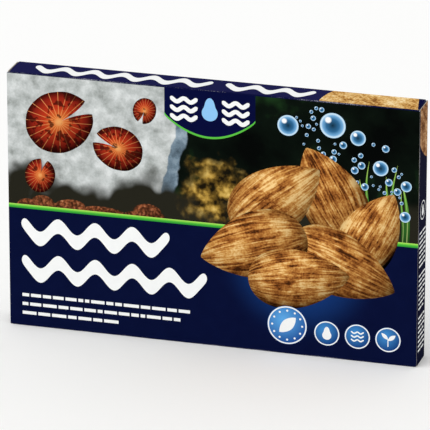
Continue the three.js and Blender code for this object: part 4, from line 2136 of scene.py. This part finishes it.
@dataclass
class LeafStack:
    """The twelve leaves, which stand on edge in the carton and nest in the same waves.
    Their sizes are drawn with the frame's own generator, so each leaf meets its solid."""

    count: int = 12
    seed: int = 20
    multiplier: int = 16807
    modulus: int = 2147483647
    pitch: float = 1.5
    rib_half_width: float = 1.6
    rib_fade: float = 1.9
    tip_half_width: float = 0.7
    tip_fall: float = 0.42
    blade: float = 0.42
    rib: float = 0.95
    rest: float = 0.8
    nick: float = 0.45
    nick_width: float = 8.0
    quilt: float = 0.14
    quilt_pitch: float = 17.0
    curl: float = 0.16
    across_steps: int = 44
    along_steps: int = 110
    stalk_steps: int = 8

    def plans(self) -> list[LeafPlan]:
        """Draws each leaf's sizes in the order that the frame's leaves were drawn.

        Returns:
            The leaves' sizes.
        """
        state, draws = self.seed, []
        for _ in range(9 * self.count):
            state = state * self.multiplier % self.modulus
            draws.append(state / self.modulus)
        made = []
        for index in range(self.count):
            long, wide, peak, stalk, bend, tilt, shift, ripple, phase = draws[:9]
            del draws[:9]
            turned = 180 if index % 3 == 1 else 0
            made.append(
                LeafPlan(
                    length=226 + 22 * long,
                    half_width=66 + 6 * wide,
                    widest=0.64 + 0.05 * peak,
                    stalk=9 + 4 * stalk,
                    bend=(bend - 0.5) * 10,
                    tilt=math.radians((tilt - 0.5) * 5 + turned),
                    shift=(shift - 0.5) * 5,
                    ripple=0.5 + 0.5 * ripple,
                    phase=6.28 * phase,
                    depth=(index - (self.count - 1) / 2) * self.pitch,
                )
            )
        return made

    def half_width_at(self, plan: LeafPlan, share: float) -> float:
        """Works out half a blade's width.

        Args:
            plan: the leaf's sizes.
            share: how far along the blade, from 0 at its foot to 1 at its tip.

        Returns:
            Half the width.
        """
        if share <= 0:
            return self.rib_half_width
        grow = plan.widest / (1 - plan.widest) * self.tip_fall
        peak = plan.widest**grow * (1 - plan.widest) ** self.tip_fall
        body = share**grow * max(0.0, 1 - share) ** self.tip_fall / peak
        waved = 1 + 0.012 * plan.ripple * math.sin(21 * share + plan.phase)
        wide = self.rib_half_width * (1 - share) + plan.half_width * body * waved
        return max(self.tip_half_width, wide)

    def stack_wave(self, x: float, z: float) -> float:
        """Works out the waves that all leaves of the stack share.

        Args:
            x: where a point is along the carton.
            z: how high it is.

        Returns:
            How far the stack bows out there.
        """
        return (
            0.95 * math.sin(x / 31 + 0.6) * math.cos((z - 75) / 44)
            + 0.4 * math.sin(x / 12.5 + z / 38)
            + 0.3 * math.sin(z / 9.5 + x / 27)
        )

    def leaf(self, number: int, plan: LeafPlan) -> bpy.types.Object:
        """Builds one leaf from a fine grid.

        Args:
            number: the leaf's number in the stack, from 1.
            plan: its sizes.

        Returns:
            The leaf.
        """
        columns, rows, foot = self.along_steps, self.across_steps, self.stalk_steps
        draw = random.Random(number)
        nicks = [draw.uniform(-self.nick, self.nick) for _ in range(2 * (columns + 1))]

        def flat(column: int, row: int) -> Point:
            """Works out where a point of the grid is on the flat leaf.

            Args:
                column: its column, from the stalk's end.
                row: its row.

            Returns:
                How far along it is from the blade's foot, and how far across.
            """
            if column < foot:
                along = -plan.stalk * (1 - column / foot)
            else:
                along = plan.length * (1 - (1 - (column - foot) / (columns - foot)) ** 1.35)
            half = self.half_width_at(plan, along / plan.length)
            side = (row / rows) * 2 - 1
            rough = nicks[2 * column + (side > 0)] * abs(side) ** 6
            ragged = rough if half > self.nick_width else 0.0
            return along, math.copysign(abs(side) ** 1.25, side) * (half + ragged)

        def turned(along: float, across: float) -> Point:
            """Sways and turns a point of the flat leaf.

            Args:
                along: how far along it is.
                across: how far across it is.

            Returns:
                Where it then is, in the carton's length and height.
            """
            sway = plan.bend * math.sin(math.pi * max(0.0, along / plan.length))
            along, across = along - plan.length / 2, across + sway
            x = math.cos(plan.tilt) * along - math.sin(plan.tilt) * across + plan.shift
            return x, math.sin(plan.tilt) * along + math.cos(plan.tilt) * across

        lowest = min(turned(*flat(c, r))[1] for c in range(columns + 1) for r in (0, rows))
        piece = Piece(f"almond_leaf_{number:02d}")
        grid = bmesh.ops.create_grid(piece.mesh, x_segments=columns, y_segments=rows, size=1)
        for vert in grid["verts"]:
            column, row = round((vert.co.x + 1) / 2 * columns), round((vert.co.y + 1) / 2 * rows)
            along, across = flat(column, row)
            x, z = turned(along, across)
            z += self.rest - lowest
            lean = along - 0.55 * abs(across) - 0.0045 * across * across
            flank = min(1.0, abs(across) / 12)
            quilt = self.quilt * math.sin(2 * math.pi * lean / self.quilt_pitch) * flank
            curl = self.curl * (across / 70) ** 2 * math.sin(along / 11 + plan.phase)
            vert[piece.place] = Vector((along, across, float(number)))
            vert.co = Vector((x, plan.depth + self.stack_wave(x, z) + quilt + curl, z))
        made = piece.finish([LEAF_SKIN], LEAF_SLOT, smooth=True)
        # The places are read first: a group's first weight moves the mesh's data.
        places = [own.vector[1] for own in made.data.attributes[PLACE].data]
        ribs, least = made.vertex_groups.new(name="rib"), self.blade / self.rib
        for index, across in enumerate(places):
            near = max(0.0, 1 - abs(across) / self.rib_fade)
            ribs.add([index], least + (1 - least) * near, "REPLACE")
        solid = made.modifiers.new("blade", "SOLIDIFY")
        solid.thickness = self.rib * MM
        solid.offset = 0.0
        solid.vertex_group = ribs.name
        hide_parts(f"leaf_{number:02d}")
        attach(made, CARTON_BODY)
        return made

    def build(self) -> list[bpy.types.Object]:
        """Builds every leaf."""
        return [self.leaf(number, plan) for number, plan in enumerate(self.plans(), start=1)]


@dataclass
class Studio:
    """A white floor, soft light from all round, and the photograph's view. The camera's
    distance and aim are shares of the carton's length, its angles are in degrees."""

    size: CartonSize
    azimuth: float = 16.16
    elevation: float = 20.42
    distance: float = 12.0
    focal_px: float = 5099.8
    frame_px: float = 430.0
    sensor: float = 36.0
    aim_x: float = -0.0021
    aim_z: float = 0.3153
    clip_end: float = 50.0
    floor_reach: float = 6000.0
    surround: float = 0.76
    key_energy: float = 1.25
    key_spread: float = 70.0
    key_aim: Triple = (0.42, 0.62, -0.72)

    def build(self) -> list[bpy.types.Object]:
        """Makes the floor, the lights and the camera.

        Returns:
            The floor, which alone of them is a piece.
        """
        self.lights()
        self.camera()
        return [self.floor()]

    def floor(self) -> bpy.types.Object:
        """Lays the floor.

        Returns:
            The floor.
        """
        piece = Piece("studio_floor")
        bmesh.ops.create_grid(piece.mesh, x_segments=1, y_segments=1, size=self.floor_reach)
        piece.face_out(0, (0, 0, 1))
        floor = piece.finish([StudioFloor("studio_floor_white")], BOARD_SLOT)
        return floor

    def lights(self) -> None:
        """Sets an even white surround and one broad, soft key light from the front left."""
        world = bpy.data.worlds.new("studio_surround")
        world.use_nodes = True
        background = world.node_tree.nodes["Background"]
        background.inputs["Color"].default_value = linear("ffffff")
        background.inputs["Strength"].default_value = self.surround
        bpy.context.scene.world = world
        data = bpy.data.lights.new("key_light", "SUN")
        data.energy = self.key_energy
        data.angle = math.radians(self.key_spread)
        light = bpy.data.objects.new("key_light", data)
        light.rotation_euler = Vector(self.key_aim).to_track_quat("-Z", "Y").to_euler()
        bpy.context.scene.collection.objects.link(light)

    def camera(self) -> None:
        """Sets the camera at the photograph's angle, with a long lens."""
        length = 2 * self.size.half_length * MM
        azimuth, elevation = math.radians(self.azimuth), math.radians(self.elevation)
        level = math.cos(elevation)
        back = Vector((math.sin(azimuth) * level, -math.cos(azimuth) * level, math.sin(elevation)))
        data = bpy.data.cameras.new("camera")
        data.sensor_width = self.sensor
        data.lens = self.focal_px / self.frame_px * data.sensor_width
        data.clip_end = self.clip_end
        camera = bpy.data.objects.new("camera", data)
        aim = Vector((self.aim_x * length, 0.0, self.aim_z * length))
        camera.location = aim + back * self.distance * length
        camera.rotation_euler = back.to_track_quat("Z", "Y").to_euler()
        bpy.context.scene.collection.objects.link(camera)
        bpy.context.scene.camera = camera
        bpy.context.scene.view_settings.view_transform = "Standard"


def main() -> None:
    """Builds the studio, the carton, its leaves and its print."""
    logging.basicConfig(level=logging.INFO, format="%(name)s: %(message)s")
    LOG.info("the frame has %d nodes", len(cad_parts))
    size = CartonSize.from_frame()
    planes = print_planes(size)
    parts = [Studio(size), CartonShell(size)]
    for side in Side:
        flaps = [DustFlap(size, side, top) for top in (False, True)]
        parts += [*flaps, EndClosure(size, side)]
    parts += [LeafStack(), FrontPrint(planes[PrintedWall.FRONT]), NarrowPrint(planes)]
    for part in parts:
        for piece in part.build():
            LOG.info("%s: %d faces", piece.name, len(piece.data.polygons))


if __name__ == "__main__":
    main()
